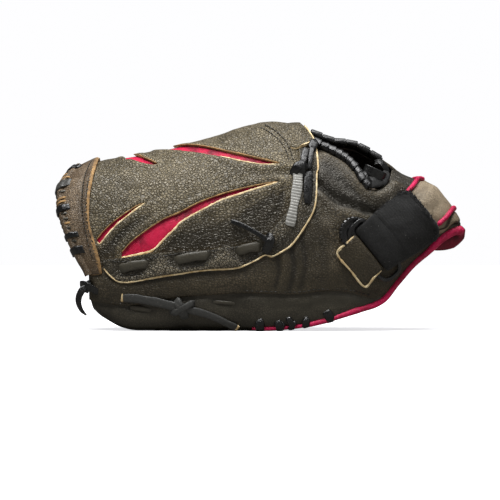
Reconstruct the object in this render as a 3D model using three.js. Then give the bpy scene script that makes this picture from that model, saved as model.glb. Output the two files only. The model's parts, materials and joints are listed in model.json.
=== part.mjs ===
// A folded baseball glove standing on the mouth of its pocket, in millimetres, +Z up.
// +X points to the wrist, -Y to the thumb side, +Y to the finger side. The origin lies on the
// ground under the middle of the glove.
//
// The glove is an upside-down U: an arch that runs along X. Every leather piece is a sheet
// between two depths below the arch's outer skin, so layers nest without touching.
import * as THREE from "three";

// Driving dimensions.
const LEATHER = 2;
const LINING = 1.2;
const GAP = 0.6;
const LAYER_GAP = 1.3;
const STALL_DEPTH = 22;
const PALM_DEPTH = STALL_DEPTH + LAYER_GAP;
const FLAP_LIFT = LEATHER + LAYER_GAP;
const LACE_WIDTH = 5;
const LACE_THICKNESS = 2;
const LACE_LIFT = FLAP_LIFT + GAP + LACE_THICKNESS;
const PIPING_RADIUS = 2.1;
const STRAP_WIDTH = 38;
const STRAP_THICKNESS = 2;
const BAND_LIFT = FLAP_LIFT;
const STRAP_LIFT = BAND_LIFT + LAYER_GAP + STRAP_THICKNESS;
const FLAP_STRAP_LIFT = STRAP_LIFT + GAP + STRAP_THICKNESS;
const RING_BAR = 1.8;
const TAB_HALF_WIDTH = 13.5;
const TAB_LIFT = 4.4;
const PAD_OUTSIDE = 12;
const PAD_INSIDE = 20;
const STALL_SIDES = 10;
const STALL_ROUNDING = 20;
const RIM_LACE_THICKNESS = 3;
const CREST_CLEARANCE = 2;
const PIPING_DROP = 1.4;
const EDGE_RISE = 4.5;
const LINING_RISE = 6;
const BAND_PIPING_WIDTH = 2.6;

// FOLD_GAP keeps the two halves apart at the crest. TOP stands for any height above the crest.
// SPREAD scales the place across the arch to about the size of the X positions it is mixed with.
const FOLD_GAP = 0.012;
const TOP = 200;
const SPREAD = 100;
const THUMB = -1;
const FINGERS = 1;

// Shape of the arch: how high its crest stands, where its mouth edge lies, how wide it is.
const crest = through([
  [-144, 106], [-131, 114], [-116, 120], [-84, 126], [-42, 135.5], [-8, 146], [14, 148],
  [34, 141.5], [50, 135.5], [67, 132.5], [84, 122.5], [101, 110], [118, 101], [134, 86], [144, 70],
]);
const mouthLine = through([
  [-144, 30], [-124, 20], [-112, 9], [-96, 2], [-80, 0], [0, 0], [40, 5], [62, 12], [84, 20],
  [95, 33], [106, 45.5], [117, 54.5], [134, 67], [144, 69],
]);
const halfWidth = through([
  [-144, 34], [-120, 43], [-80, 50], [-30, 54], [20, 55], [60, 53], [100, 45], [125, 37], [144, 30],
]);
const ARCH_POWER = 2.4;
const MOUTH_TUCK = 0.36;

const LEATHER_COLOUR = 0x5d574b;
const BROWN_COLOUR = 0x69584a;
const PINK_COLOUR = 0xe03a68;
const LACE_COLOUR = 0x323434;
const FELT_COLOUR = 0x8d8878;
const LINING_COLOUR = 0x3a3630;
const STRAP_COLOUR = 0x131516;
const PLASTIC_COLOUR = 0x0c0c0d;

const glove = new THREE.Group();

// The mouth edge never dips below the ground, so both legs of the arch end in a flat foot.
function mouth(x) {
  return Math.max(0, mouthLine(x));
}

// A smooth function through [position, value] pairs, level beyond both ends.
function through(pairs) {
  const slopes = pairs.map((_, i) => {
    const before = pairs[Math.max(i - 1, 0)];
    const after = pairs[Math.min(i + 1, pairs.length - 1)];
    return (after[1] - before[1]) / (after[0] - before[0]);
  });
  return (x) => {
    let i = 0;
    while (i < pairs.length - 2 && x > pairs[i + 1][0]) i += 1;
    const [x0, y0] = pairs[i];
    const [x1, y1] = pairs[i + 1];
    const span = x1 - x0;
    const t = THREE.MathUtils.clamp((x - x0) / span, 0, 1);
    const rise = t * t * (3 - 2 * t);
    const enter = t * (1 - t) * (1 - t) * span * slopes[i];
    const leave = t * t * (t - 1) * span * slopes[i + 1];
    return y0 + rise * (y1 - y0) + enter + leave;
  };
}

// A point of the arch. s runs from -1 at the thumb edge over 0 at the crest to 1 at the finger edge.
function arch(x, s, depth) {
  const rise = Math.cos((s * Math.PI) / 2);
  const low = mouth(x);
  const spread = Math.sqrt(1 - rise ** ARCH_POWER) * (1 - MOUTH_TUCK * (1 - rise) ** 2);
  const y = Math.sign(s) * (halfWidth(x) - depth) * spread;
  return new THREE.Vector3(x, y, low + rise * (crest(x) - depth - low));
}

// The place across the arch, on one side, of a height on its skin.
function across(x, z, side) {
  const rise = THREE.MathUtils.clamp((z - mouth(x)) / (crest(x) - mouth(x)), 0, 1);
  return side * Math.max((Math.acos(rise) * 2) / Math.PI, FOLD_GAP);
}

// The outward direction of the skin, taken just inside the mouth edges.
function outward(x, place) {
  const s = THREE.MathUtils.clamp(place, -0.95, 0.95);
  const alongX = arch(x + 1, s, 0).sub(arch(x - 1, s, 0));
  const overCrest = arch(x, s + 0.01, 0).sub(arch(x, s - 0.01, 0));
  return overCrest.cross(alongX).normalize().negate();
}

// A smooth edge through [x, z] points on one side of the skin, as a function of t from 0 to 1.
// A height above the crest means the crest.
function edge(side, points) {
  const places = points.map(([x, z]) => new THREE.Vector2(x, across(x, z, side)));
  const curve = new THREE.SplineCurve(places);
  return (t) => {
    const p = curve.getPoint(t);
    return [p.x, side * Math.max(side * p.y, FOLD_GAP)];
  };
}

// A closed geometry from points and triangles, with its faces turned outward.
function closed(points, triangles) {
  const volume = triangles.reduce((sum, [a, b, c]) => {
    const normal = new THREE.Vector3().crossVectors(points[b], points[c]);
    return sum + points[a].dot(normal);
  }, 0);
  const order = volume < 0 ? triangles.map(([a, b, c]) => [a, c, b]) : triangles;
  const geometry = new THREE.BufferGeometry().setFromPoints(points);
  geometry.setIndex(order.flat());
  return geometry;
}

function quad(a, b, c, d) {
  return [[a, b, c], [a, c, d]];
}

// A slab between an outer and an inner grid of points, each rows x columns.
function slab(outer, inner) {
  const rows = outer.length;
  const columns = outer[0].length;
  const points = [...outer.flat(), ...inner.flat()];
  const at = (layer, i, j) => (layer * rows + i) * columns + j;
  const triangles = [];
  for (let i = 0; i < rows - 1; i += 1) {
    for (let j = 0; j < columns - 1; j += 1) {
      triangles.push(...quad(at(0, i, j), at(0, i + 1, j), at(0, i + 1, j + 1), at(0, i, j + 1)));
      triangles.push(...quad(at(1, i, j), at(1, i, j + 1), at(1, i + 1, j + 1), at(1, i + 1, j)));
    }
    const last = columns - 1;
    triangles.push(...quad(at(0, i, 0), at(1, i, 0), at(1, i + 1, 0), at(0, i + 1, 0)));
    triangles.push(...quad(at(0, i, last), at(0, i + 1, last), at(1, i + 1, last), at(1, i, last)));
  }
  for (let j = 0; j < columns - 1; j += 1) {
    const last = rows - 1;
    triangles.push(...quad(at(0, 0, j), at(0, 0, j + 1), at(1, 0, j + 1), at(1, 0, j)));
    triangles.push(...quad(at(0, last, j), at(1, last, j), at(1, last, j + 1), at(0, last, j + 1)));
  }
  return closed(points, triangles);
}

// A patch of the skin between two depths. placeAt(t, k) gives its [x, s] for t and k from 0 to 1.
function patch(placeAt, along, wide, outside, inside) {
  const grid = (depth) =>
    Array.from({ length: along + 1 }, (_, i) =>
      Array.from({ length: wide + 1 }, (_, j) => arch(...placeAt(i / along, j / wide), depth)),
    );
  return slab(grid(outside), grid(inside));
}

// A patch between two edges.
function sheet(lower, upper, along, wide, outside, inside) {
  const between = (t, k) => {
    const [x0, s0] = lower(t);
    const [x1, s1] = upper(t);
    return [x0 + k * (x1 - x0), s0 + k * (s1 - s0)];
  };
  return patch(between, along, wide, outside, inside);
}

// A body through rings of points, capped at both ends or, as a loop, joined end to end.
function loft(rings, loop = false) {
  const sides = rings[0].length;
  const points = rings.flat();
  const triangles = [];
  const steps = loop ? rings.length : rings.length - 1;
  for (let i = 0; i < steps; i += 1) {
    const here = i * sides;
    const next = ((i + 1) % rings.length) * sides;
    for (let j = 0; j < sides; j += 1) {
      const k = (j + 1) % sides;
      triangles.push(...quad(here + j, next + j, next + k, here + k));
    }
  }
  if (!loop) {
    const end = (rings.length - 1) * sides;
    for (let j = 1; j < sides - 1; j += 1) {
      triangles.push([0, j, j + 1]);
      triangles.push([end, end + j + 1, end + j]);
    }
  }
  return closed(points, triangles);
}

// A ring of points round a centre, with one half size along each of two directions.
function ringAt(centre, wideWay, halfWide, thickWay, halfThick, sides) {
  return Array.from({ length: sides }, (_, i) => {
    const angle = ((i + 0.5) / sides) * 2 * Math.PI;
    return centre
      .clone()
      .addScaledVector(wideWay, Math.cos(angle) * halfWide)
      .addScaledVector(thickWay, Math.sin(angle) * halfThick);
  });
}

// A cord on the skin through [x, z, lift] points on one side.
function cord(side, points, width, thickness, steps) {
  const places = points.map(([x, z, lift]) => new THREE.Vector3(x, SPREAD * across(x, z, side), lift));
  const curve = new THREE.CatmullRomCurve3(places);
  const stops = Array.from({ length: steps + 1 }, (_, i) => curve.getPoint(i / steps));
  const path = stops.map((p) => {
    const s = p.y / SPREAD;
    return { at: arch(p.x, s, -p.z), out: outward(p.x, s) };
  });
  const rings = path.map(({ at, out }, i) => {
    const before = path[Math.max(i - 1, 0)].at;
    const after = path[Math.min(i + 1, steps)].at;
    const forward = after.clone().sub(before).normalize();
    const wideWay = new THREE.Vector3().crossVectors(forward, out).normalize();
    const thickWay = new THREE.Vector3().crossVectors(wideWay, forward).normalize();
    return ringAt(at, wideWay, width / 2, thickWay, thickness / 2, 6);
  });
  return loft(rings);
}

function add(name, geometry, colour, roughness = 0.6) {
  const material = new THREE.MeshStandardMaterial({ color: colour, roughness, metalness: 0 });
  const mesh = new THREE.Mesh(geometry, material);
  mesh.name = name;
  glove.add(mesh);
}

// The web folds over the crest: the same sheets are made for each side.
function addWeb(side, name) {
  const thumbSeam = [[-124, 50], [-60, 54], [0, 61], [30, 82]];
  const fingerSeam = [[-124, 104], [-60, 108], [0, 113], [18, 113]];
  const seam = side === THUMB ? thumbSeam : fingerSeam;
  const top = [[-128, TOP], [-90, TOP], [-40, TOP], [0, TOP], [34, TOP]];
  add(`web_${name}_panel`, sheet(edge(side, seam), edge(side, top), 14, 8, 0, LEATHER), LEATHER_COLOUR);

  const inlaySeam = seam.map(([x, z]) => [0.85 * x, z + 7]);
  const inlayTop = [[-108, TOP], [-60, TOP], [20, TOP]];
  const inlay = sheet(
    edge(side, inlaySeam), edge(side, inlayTop), 12, 7, FLAP_LIFT, FLAP_LIFT + LINING,
  );
  add(`web_${name}_inlay`, inlay, PINK_COLOUR);
}

function addWebCaps() {
  const capEdge = [[-127, 44], [-134, 57], [-140, 69], [-143, 84], [-143, 97], [-137, 108], [-131, TOP]];
  const rawEdge = [[-112, 41], [-115, 60], [-119, 76], [-119.5, 92], [-118, 106], [-115, TOP]];
  const thumbCap = sheet(
    edge(THUMB, capEdge), edge(THUMB, rawEdge), 12, 3, -FLAP_LIFT, -LAYER_GAP,
  );
  add("web_cap_thumb", thumbCap, BROWN_COLOUR);
  const farEdge = [[-136, 92], [-138, 100], [-136, 108], [-131, TOP]];
  const farRaw = [[-116, 96], [-118, 102], [-117, 110], [-115, TOP]];
  const fingerCap = sheet(
    edge(FINGERS, farEdge), edge(FINGERS, farRaw), 8, 3, -FLAP_LIFT, -LAYER_GAP,
  );
  add("web_cap_fingers", fingerCap, BROWN_COLOUR);
}

function addWebFlaps() {
  const low = [
    [-107, 38.5], [-96, 34], [-57, 42], [-18, 43], [4, 52], [19, 58], [31, 74], [36, 88],
    [38, 106], [38, 124],
  ];
  const high = [
    [-110, 49], [-96, 51], [-57, 55], [-24, 59], [-4, 64], [8, 72], [18, 84], [24, 96],
    [27, 108], [27, 124],
  ];
  const near = sheet(edge(THUMB, low), edge(THUMB, high), 18, 2, -FLAP_LIFT, -LAYER_GAP);
  add("web_flap_thumb", near, LEATHER_COLOUR);
  const farLow = [[-112, 92], [-60, 98], [0, 104], [26, 106]];
  const farHigh = [[-112, 104], [-60, 112], [0, 122], [26, 124]];
  const far = sheet(edge(FINGERS, farLow), edge(FINGERS, farHigh), 10, 2, -FLAP_LIFT, -LAYER_GAP);
  add("web_flap_fingers", far, LEATHER_COLOUR);
}

// The wrist edge of the leather, a little above the mouth edge to leave room for the piping.
function wristEdge(start, above) {
  return [start, 62, 74, 84, 95, 106, 117, 128].map((x) => [x, mouth(x) + above]);
}

function addThumb() {
  const seam = [[-119, 25], [-107, 21], [-63, 24], [-15, 27.5], [22, 27]];
  const top = [[-121, 44], [-107, 44], [-60, 50], [-10, 56], [24, 64]];
  add("thumb_back", sheet(edge(THUMB, seam), edge(THUMB, top), 12, 3, 0, LEATHER), LEATHER_COLOUR);

  const stations = [-112, -96, -80, -60, -30, 0, 20];
  const seamLine = through([[-119, 23], [-107, 19], [-63, 22], [-15, 25.5], [22, 25]]);
  const profile = (x, depth) => {
    const wall = [1, 0.66, 0.33, 0.08].map((k) => {
      const z = mouth(x) + k * (seamLine(x) - mouth(x));
      return arch(x, across(x, z, THUMB), depth);
    });
    const floor = mouth(x) + depth;
    const underside = [depth, 8, 16, STALL_DEPTH].map((inset) => {
      const p = arch(x, -1, inset);
      return new THREE.Vector3(p.x, p.y, floor);
    });
    return [...wall, ...underside];
  };
  const outer = stations.map((x) => profile(x, 0));
  const inner = stations.map((x) => profile(x, LEATHER));
  add("thumb_edge_panel", slab(outer, inner), LEATHER_COLOUR);

  const heelHigh = [
    [40, 130], [50, 126], [62, 118], [72, 107], [82, 105], [92, 115], [104, TOP], [120, TOP], [138, TOP],
  ];
  const heelLow = wristEdge(26, EDGE_RISE);
  const heel = sheet(edge(THUMB, heelLow), edge(THUMB, heelHigh), 18, 10, 0, LEATHER);
  add("thumb_heel_leather", heel, LEATHER_COLOUR);
  const liningHigh = [[46, 100], [60, 100], [80, 98], [100, TOP], [134, TOP]];
  const liningLow = wristEdge(44, LINING_RISE);
  const inside = FLAP_LIFT + LINING;
  const lining = sheet(edge(THUMB, liningLow), edge(THUMB, liningHigh), 12, 8, FLAP_LIFT, inside);
  add("hand_lining_thumb", lining, LINING_COLOUR, 0.8);
}

function addPalms() {
  const low = [[-106, 9], [-60, 4], [0, 4], [40, 9], [64, 17]];
  const thumbHigh = [[-110, 56], [-60, 60], [-20, 72], [14, 104], [66, 104]];
  const palmInside = PALM_DEPTH + LEATHER + GAP;
  const near = sheet(edge(THUMB, low), edge(THUMB, thumbHigh), 12, 4, PALM_DEPTH, palmInside);
  add("palm_thumb", near, LEATHER_COLOUR);
  const fingerHigh = [[-106, 98], [-60, 104], [-20, 108], [14, 112], [66, 112]];
  const far = sheet(edge(FINGERS, low), edge(FINGERS, fingerHigh), 14, 9, PALM_DEPTH, palmInside);
  add("palm_fingers", far, LEATHER_COLOUR);
  const padLow = [[30, 9], [50, 13], [66, 19]];
  const padHigh = [[30, 50], [50, 58], [70, 60]];
  const pad = (side) => sheet(edge(side, padLow), edge(side, padHigh), 4, 3, PAD_OUTSIDE, PAD_INSIDE);
  add("heel_pad_thumb", pad(THUMB), FELT_COLOUR, 0.95);
  add("heel_pad_fingers", pad(FINGERS), FELT_COLOUR, 0.95);
}

// A finger stall is a cup: its outer skin from tip to base, then its inside back to the tip.
function addFinger(name, low, high, tip, base) {
  const section = (x, shrink) => {
    const middle = (low + high) / 2;
    const reach = THREE.MathUtils.clamp((x - tip) / STALL_ROUNDING, 0.04, 1);
    const round = Math.sqrt(1 - (1 - reach) ** 2);
    const halfTall = Math.max(((high - low) / 2) * round - shrink, 0.5);
    const s = across(x, middle, FINGERS);
    const skin = arch(x, s, 0);
    const palm = arch(x, s, STALL_DEPTH - LEATHER);
    const centre = skin.clone().lerp(palm, 0.5);
    const out = skin.clone().sub(palm).normalize();
    const up = new THREE.Vector3(1, 0, 0).cross(out).normalize();
    const deep = Math.max((skin.distanceTo(palm) / 2) * round - shrink, 0.5);
    const ring = ringAt(centre, up, halfTall, out, deep, STALL_SIDES);
    return ring.map((p) => p.setZ(Math.max(p.z, shrink)));
  };
  const outerStops = [0, 3, 9, STALL_ROUNDING].map((d) => tip + d);
  const length = base - tip;
  const plain = [0.4, 0.7, 1].map((k) => tip + k * length);
  const outer = [...outerStops, ...plain].map((x) => section(x, 0));
  const innerStops = [STALL_ROUNDING, 10, 5].map((d) => tip + d);
  const inner = [...plain.toReversed(), ...innerStops].map((x) => section(x, LEATHER));
  add(name, loft([...outer, ...inner]), LEATHER_COLOUR);
}

function addFingers() {
  addFinger("index_stall", 83, 107, -130, 8);
  addFinger("middle_stall", 55.5, 80, -128, 8);
  addFinger("ring_stall", 28, 52.5, -119, 8);
  addFinger("little_stall", -2, 25, -104, 8);

  const high = [[37, TOP], [60, TOP], [84, TOP], [100, TOP], [120, TOP], [138, TOP]];
  const low = wristEdge(12, EDGE_RISE);
  const back = sheet(edge(FINGERS, low), edge(FINGERS, high), 18, 12, 0, LEATHER);
  add("back_of_hand", back, LEATHER_COLOUR);
  const liningHigh = [[50, TOP], [80, TOP], [110, TOP], [134, TOP]];
  const liningLow = wristEdge(44, LINING_RISE);
  const inside = FLAP_LIFT + LINING;
  const lining = sheet(edge(FINGERS, liningLow), edge(FINGERS, liningHigh), 12, 10, FLAP_LIFT, inside);
  add("hand_lining_fingers", lining, LINING_COLOUR, 0.8);
}

function addLaces() {
  const lace = (name, side, points, steps, width = LACE_WIDTH) =>
    add(name, cord(side, points, width, LACE_THICKNESS, steps), LACE_COLOUR, 0.4);
  const low = LACE_LIFT;
  lace("web_thumb_lace", THUMB, [[-106, 45, low], [-70, 48, low], [-40, 51, low], [-10, 57, low]], 10);
  const sideTail = [[4, 62, low + 4], [-4, 68, low + 4], [-14, 74, low + 3], [-24, 75, low + 2]];
  lace("web_side_tail", THUMB, sideTail, 8, 3.5);
  const baseStrip = [[24.5, 128], [24.5, 112], [24.5, 100], [21, 84], [19, 72]];
  lace("web_base_lace", THUMB, baseStrip.map(([x, z]) => [x, z, low]), 8);
  lace("thumb_tail_lace", THUMB, [[-97, 24, 3], [-70, 23, 3], [-55, 17, 4], [-36, 10, 4], [-19, 5, 4]], 10);
  lace("corner_lace", THUMB, [[-118, 36, 2], [-120, 31, 3], [-121, 26, 4], [-120, 22, 4]], 6, 3.5);
  lace("web_finger_lace", FINGERS, [[-100, 98, low], [-60, 105, low], [-20, 111, low], [10, 114, low]], 10);
  lace("finger_tip_lace", FINGERS, [[-112, 86, 4], [-110, 60, 4], [-104, 40, 4.4], [-90, 20, 4.6]], 10, 3.5);
  lace("finger_lace", FINGERS, [[-60, 90, 3.4], [-58, 66, 3.4], [-56, 40, 3.8], [-54, 16, 4]], 10, 3.5);
  lace("heel_lace_thumb", THUMB, [[26, 8, 3], [36, 9, 3], [46, 11, 3], [58, 15, 3]], 8, 4);
  lace("heel_lace_fingers", FINGERS, [[14, 7, 3], [30, 9, 3], [44, 12, 3], [58, 16, 3]], 8, 4);
}

function addRims() {
  const lift = GAP + LACE_THICKNESS;
  const thumbRim = [[42, 127, lift], [50, 123, lift], [60, 116, lift], [68, 108, lift], [76, 102, lift]];
  add("rim_lace_thumb", cord(THUMB, thumbRim, 5, RIM_LACE_THICKNESS, 10), LACE_COLOUR, 0.4);
  const handRim = [[40, TOP, lift], [52, TOP, lift], [66, TOP, lift], [80, TOP, lift]];
  const handLace = cord(FINGERS, handRim, 4, RIM_LACE_THICKNESS, 10);
  handLace.translate(0, CREST_CLEARANCE, 0);
  add("rim_lace_hand", handLace, LACE_COLOUR, 0.4);
  const knot = [[84, 106, lift], [80, 111, lift], [84, 115, lift], [90, 112, lift]];
  add("rim_knot", cord(THUMB, knot, 4, RIM_LACE_THICKNESS, 8), LACE_COLOUR, 0.4);
}

function addPiping() {
  const line = (side, points, name) =>
    add(name, cord(side, points, 2 * PIPING_RADIUS, 2 * PIPING_RADIUS, 18), PINK_COLOUR);
  const edgeLine = [...wristEdge(30, PIPING_DROP), [138, mouth(138) + PIPING_DROP]];
  const wristLine = edgeLine.map(([x, z]) => [x, z, -LEATHER / 2]);
  line(THUMB, wristLine, "wrist_piping_thumb");
  line(FINGERS, wristLine, "wrist_piping_fingers");
}

// The wrist band goes over the crest square to the wrist, so it slants in X down both sides.
function addWristBand() {
  const upper = [[99, 94], [106, 101], [111, TOP]];
  const lower = [[121, 72], [130, 79], [136, TOP]];
  const near = sheet(edge(THUMB, lower), edge(THUMB, upper), 8, 5, -BAND_LIFT, -LAYER_GAP);
  add("wrist_band_thumb", near, BROWN_COLOUR);
  const farUpper = [[84, 60], [99, 88], [111, TOP]];
  const farLower = [[108, 52], [122, 72], [136, TOP]];
  const far = sheet(edge(FINGERS, farLower), edge(FINGERS, farUpper), 12, 5, -BAND_LIFT, -LAYER_GAP);
  add("wrist_band_fingers", far, BROWN_COLOUR);
  const lift = BAND_LIFT + LAYER_GAP + STRAP_THICKNESS;
  const piping = (name, side, points) => {
    const line = points.map(([x, z]) => [x, z, lift]);
    add(name, cord(side, line, BAND_PIPING_WIDTH, BAND_PIPING_WIDTH, 6), PINK_COLOUR);
  };
  piping("band_piping_front_thumb", THUMB, [[101, 96], [105, 100], [109, 104.5]]);
  piping("band_piping_back_thumb", THUMB, [[123, 74], [129, 79], [134, 84.5]]);
  piping("band_piping_front_fingers", FINGERS, [[84, 60], [99, 88], [109, 104.5]]);
  piping("band_piping_back_fingers", FINGERS, [[109, 54], [122, 72], [134, 84.5]]);
}

// The strap lies across the heel. Its own flat frame: long way of the ring, way of the strap, outward.
const ringCentre = new THREE.Vector2(80, 58);
const ringLong = new THREE.Vector2(0.665, -0.747);
const strapWay = new THREE.Vector2(0.747, 0.665);

// A point on the thumb side, so far along the ring and so far along the strap.
function strapPoint(alongRing, alongStrap) {
  return ringCentre
    .clone()
    .addScaledVector(ringLong, alongRing)
    .addScaledVector(strapWay, alongStrap);
}

function strapSheet(from, to, halfWide, outside, inside, steps) {
  const placeAt = (t, k) => {
    const p = strapPoint((2 * k - 1) * halfWide, from + t * (to - from));
    return [p.x, across(p.x, p.y, THUMB)];
  };
  return patch(placeAt, steps, 4, outside, inside);
}

function addStrap() {
  const half = STRAP_WIDTH / 2;
  const layer = (lift) => strapSheet(10, 38, half, -lift, -lift + STRAP_THICKNESS, 6);
  add("hook_strap", layer(STRAP_LIFT), STRAP_COLOUR, 0.95);
  add("strap_flap", layer(FLAP_STRAP_LIFT), STRAP_COLOUR, 0.95);
  add("ring_tab", strapSheet(-24, -8, TAB_HALF_WIDTH, -TAB_LIFT, -LAYER_GAP, 5), LEATHER_COLOUR);

  const halfLong = half + 3;
  const halfShort = 5.5;
  const lift = STRAP_LIFT;
  const stops = 28;
  const path = Array.from({ length: stops }, (_, i) => {
    const angle = (i / stops) * 2 * Math.PI;
    const squared = (v) => Math.sign(v) * Math.abs(v) ** 0.5;
    const p = strapPoint(halfLong * squared(Math.cos(angle)), halfShort * squared(Math.sin(angle)));
    const s = across(p.x, p.y, THUMB);
    return { at: arch(p.x, s, -lift), out: outward(p.x, s) };
  });
  const rings = path.map(({ at, out }, i) => {
    const before = path[(i + stops - 1) % stops].at;
    const after = path[(i + 1) % stops].at;
    const forward = after.clone().sub(before).normalize();
    const sideWay = new THREE.Vector3().crossVectors(forward, out).normalize();
    return ringAt(at, sideWay, RING_BAR, out, RING_BAR, 6);
  });
  add("strap_ring", loft(rings, true), PLASTIC_COLOUR, 0.2);
}

addWeb(THUMB, "thumb");
addWeb(FINGERS, "fingers");
addWebCaps();
addWebFlaps();
addThumb();
addPalms();
addFingers();
addLaces();
addRims();
addPiping();
addWristBand();
addStrap();

// The origin lies on the ground under the middle of the glove's box.
const box = new THREE.Box3().setFromObject(glove);
const middle = box.getCenter(new THREE.Vector3());
glove.position.set(-middle.x, -middle.y, -box.min.z);

export default glove;
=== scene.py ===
"""A folded baseball glove, standing on its mouth edge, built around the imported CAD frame.

The glove is an upside-down U: an arch that runs along X, with the thumb side at -Y and the finger side
at +Y. Every piece of leather is a sheet of that arch. Shapes are worked out in millimetres on a flat map
of the arch: (x, a), where a is 0 at the crest, negative down the thumb side and positive down the finger
side. skin() lifts a point of the map to its place in the frame.
"""
import json

import bmesh
import bpy
import numpy as np
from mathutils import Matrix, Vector
from mathutils.geometry import delaunay_2d_cdt


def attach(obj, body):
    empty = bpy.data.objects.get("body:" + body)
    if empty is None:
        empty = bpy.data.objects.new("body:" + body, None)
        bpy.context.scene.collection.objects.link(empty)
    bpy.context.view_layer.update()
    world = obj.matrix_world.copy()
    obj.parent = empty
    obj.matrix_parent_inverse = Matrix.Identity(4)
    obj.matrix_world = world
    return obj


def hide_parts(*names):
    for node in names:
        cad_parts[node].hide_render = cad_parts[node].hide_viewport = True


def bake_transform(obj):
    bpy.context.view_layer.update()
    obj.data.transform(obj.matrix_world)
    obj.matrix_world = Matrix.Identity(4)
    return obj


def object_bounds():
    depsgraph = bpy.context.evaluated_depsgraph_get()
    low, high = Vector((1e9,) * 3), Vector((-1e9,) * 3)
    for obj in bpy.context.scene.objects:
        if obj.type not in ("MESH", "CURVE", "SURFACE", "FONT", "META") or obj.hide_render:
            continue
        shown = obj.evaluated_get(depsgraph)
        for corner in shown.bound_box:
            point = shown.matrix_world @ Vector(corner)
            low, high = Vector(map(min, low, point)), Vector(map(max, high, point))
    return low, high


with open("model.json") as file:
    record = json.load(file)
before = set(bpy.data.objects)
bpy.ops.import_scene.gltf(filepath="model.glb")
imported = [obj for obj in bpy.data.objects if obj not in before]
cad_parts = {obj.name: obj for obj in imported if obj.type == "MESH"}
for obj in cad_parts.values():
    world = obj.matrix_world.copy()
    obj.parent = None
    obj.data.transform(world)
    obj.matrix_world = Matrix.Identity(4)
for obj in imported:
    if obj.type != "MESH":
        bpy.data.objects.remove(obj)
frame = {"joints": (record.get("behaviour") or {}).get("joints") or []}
cad_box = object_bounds()

# --- Driving dimensions, in millimetres ---
MM = 0.001  # metres in a millimetre
THUMB = -1  # sign of the thumb side, on the map and along Y
FINGERS = 1  # sign of the finger side
SPREAD = 150.0  # map distance from the crest to the mouth edge
STEP = 1.9  # triangle size of a plain sheet
LEATHER = 2.0  # thickness of the shell leather
OVERLAY = 2.7  # lift of the leather that lies on top of the shell
STALL_DEPTH = 22.0  # thickness of a finger stall
ROLL = 7.0  # radius of the mouth edge where it is turned under
CRIMP_PITCH = 1.7  # spacing of the fine creases across a flat lace
CREST_HALF = 18.0  # half of the width about the crest, passed to bridge() as its half

joints = {joint["name"]: joint for joint in frame["joints"]}
hinge = np.array(joints["pocket_hinge"]["pos_m"]) / MM
shift = np.array([hinge[0], hinge[1], 0.0])


def through(pairs):
    """A smooth function through (position, value) pairs, level beyond both ends."""
    xs = np.array([pair[0] for pair in pairs], float)
    ys = np.array([pair[1] for pair in pairs], float)
    last = len(xs) - 1
    before = np.maximum(np.arange(last + 1) - 1, 0)
    after = np.minimum(np.arange(last + 1) + 1, last)
    slopes = (ys[after] - ys[before]) / (xs[after] - xs[before])

    def value(x):
        x = np.asarray(x, float)
        i = np.clip(np.searchsorted(xs, x, side="left") - 1, 0, last - 1)
        span = xs[i + 1] - xs[i]
        t = np.clip((x - xs[i]) / span, 0, 1)
        rise = t * t * (3 - 2 * t)
        enter = t * (1 - t) ** 2 * span * slopes[i]
        leave = t * t * (t - 1) * span * slopes[i + 1]
        return ys[i] + rise * (ys[i + 1] - ys[i]) + enter + leave

    return value


# Shape of the arch along X: height of its crest, height of its mouth edge, half of its width.
crest = through([
    (-144, 106), (-131, 114), (-116, 120), (-84, 126), (-42, 135.5), (-8, 146), (14, 148),
    (34, 141.5), (50, 135.5), (67, 132.5), (84, 122.5), (101, 110), (118, 101), (134, 86), (144, 70),
])
mouth_line = through([
    (-144, 30), (-124, 20), (-112, 9), (-96, 2), (-80, 0), (0, 0), (40, 5), (62, 12), (84, 20),
    (95, 33), (106, 45.5), (117, 54.5), (134, 67), (144, 69),
])
half_width = through([
    (-144, 34), (-120, 43), (-80, 50), (-30, 54), (20, 55), (60, 53), (100, 45), (125, 37), (144, 30),
])
roll = through([(-144, 3), (-100, ROLL), (10, ROLL), (60, 0.5), (144, 0.5)])
ARCH_POWER = 2.4
MOUTH_TUCK = 0.36


def mouth(x):
    """Height of the mouth edge, never below the ground."""
    return np.maximum(mouth_line(x), 0)


def skin(flat, lift=0.0):
    """Places of map points, so far out from the arch's skin, in millimetres in the frame."""
    flat = np.asarray(flat, float)
    x = flat[:, 0]
    s = np.clip(flat[:, 1] / SPREAD, -1, 1)
    under = np.maximum(np.abs(flat[:, 1]) - SPREAD, 0)
    side = np.sign(s)
    rise = np.cos(s * np.pi / 2)
    low = mouth(x)
    spread = np.sqrt(np.maximum(1 - rise**ARCH_POWER, 0)) * (1 - MOUTH_TUCK * (1 - rise) ** 2)
    z = low + rise * (crest(x) + lift - low)
    bend = roll(x)
    height = np.clip(z - low, 0, bend)
    inward = bend - np.sqrt(np.maximum(bend**2 - (bend - height) ** 2, 0))
    bottom = 1 - height / bend
    y = side * ((half_width(x) + lift) * spread - inward - under)
    z = np.maximum(z - lift * bottom, 0)
    return np.stack([x, y, z], 1) + shift


def outward(flat):
    """Outward directions of the skin at map points."""
    flat = np.asarray(flat, float)
    inner = flat.copy()
    inner[:, 1] = np.clip(flat[:, 1], 4 - SPREAD, SPREAD - 4)
    along = skin(inner + [1, 0]) - skin(inner - [1, 0])
    over = skin(inner + [0, 1]) - skin(inner - [0, 1])
    normal = np.cross(along, over)
    return normal / np.linalg.norm(normal, axis=1)[:, None]


def chart(side, points):
    """Map points from (x, z) or (x, z, lift) points on one side. A height above the crest is the crest."""
    result = []
    for x, z, *rest in points:
        rise = np.clip((z - mouth(x)) / (crest(x) - mouth(x)), 0, 1)
        result.append((x, side * np.arccos(rise) * 2 / np.pi * SPREAD, *rest))
    return [tuple(float(value) for value in point) for point in result]


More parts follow.
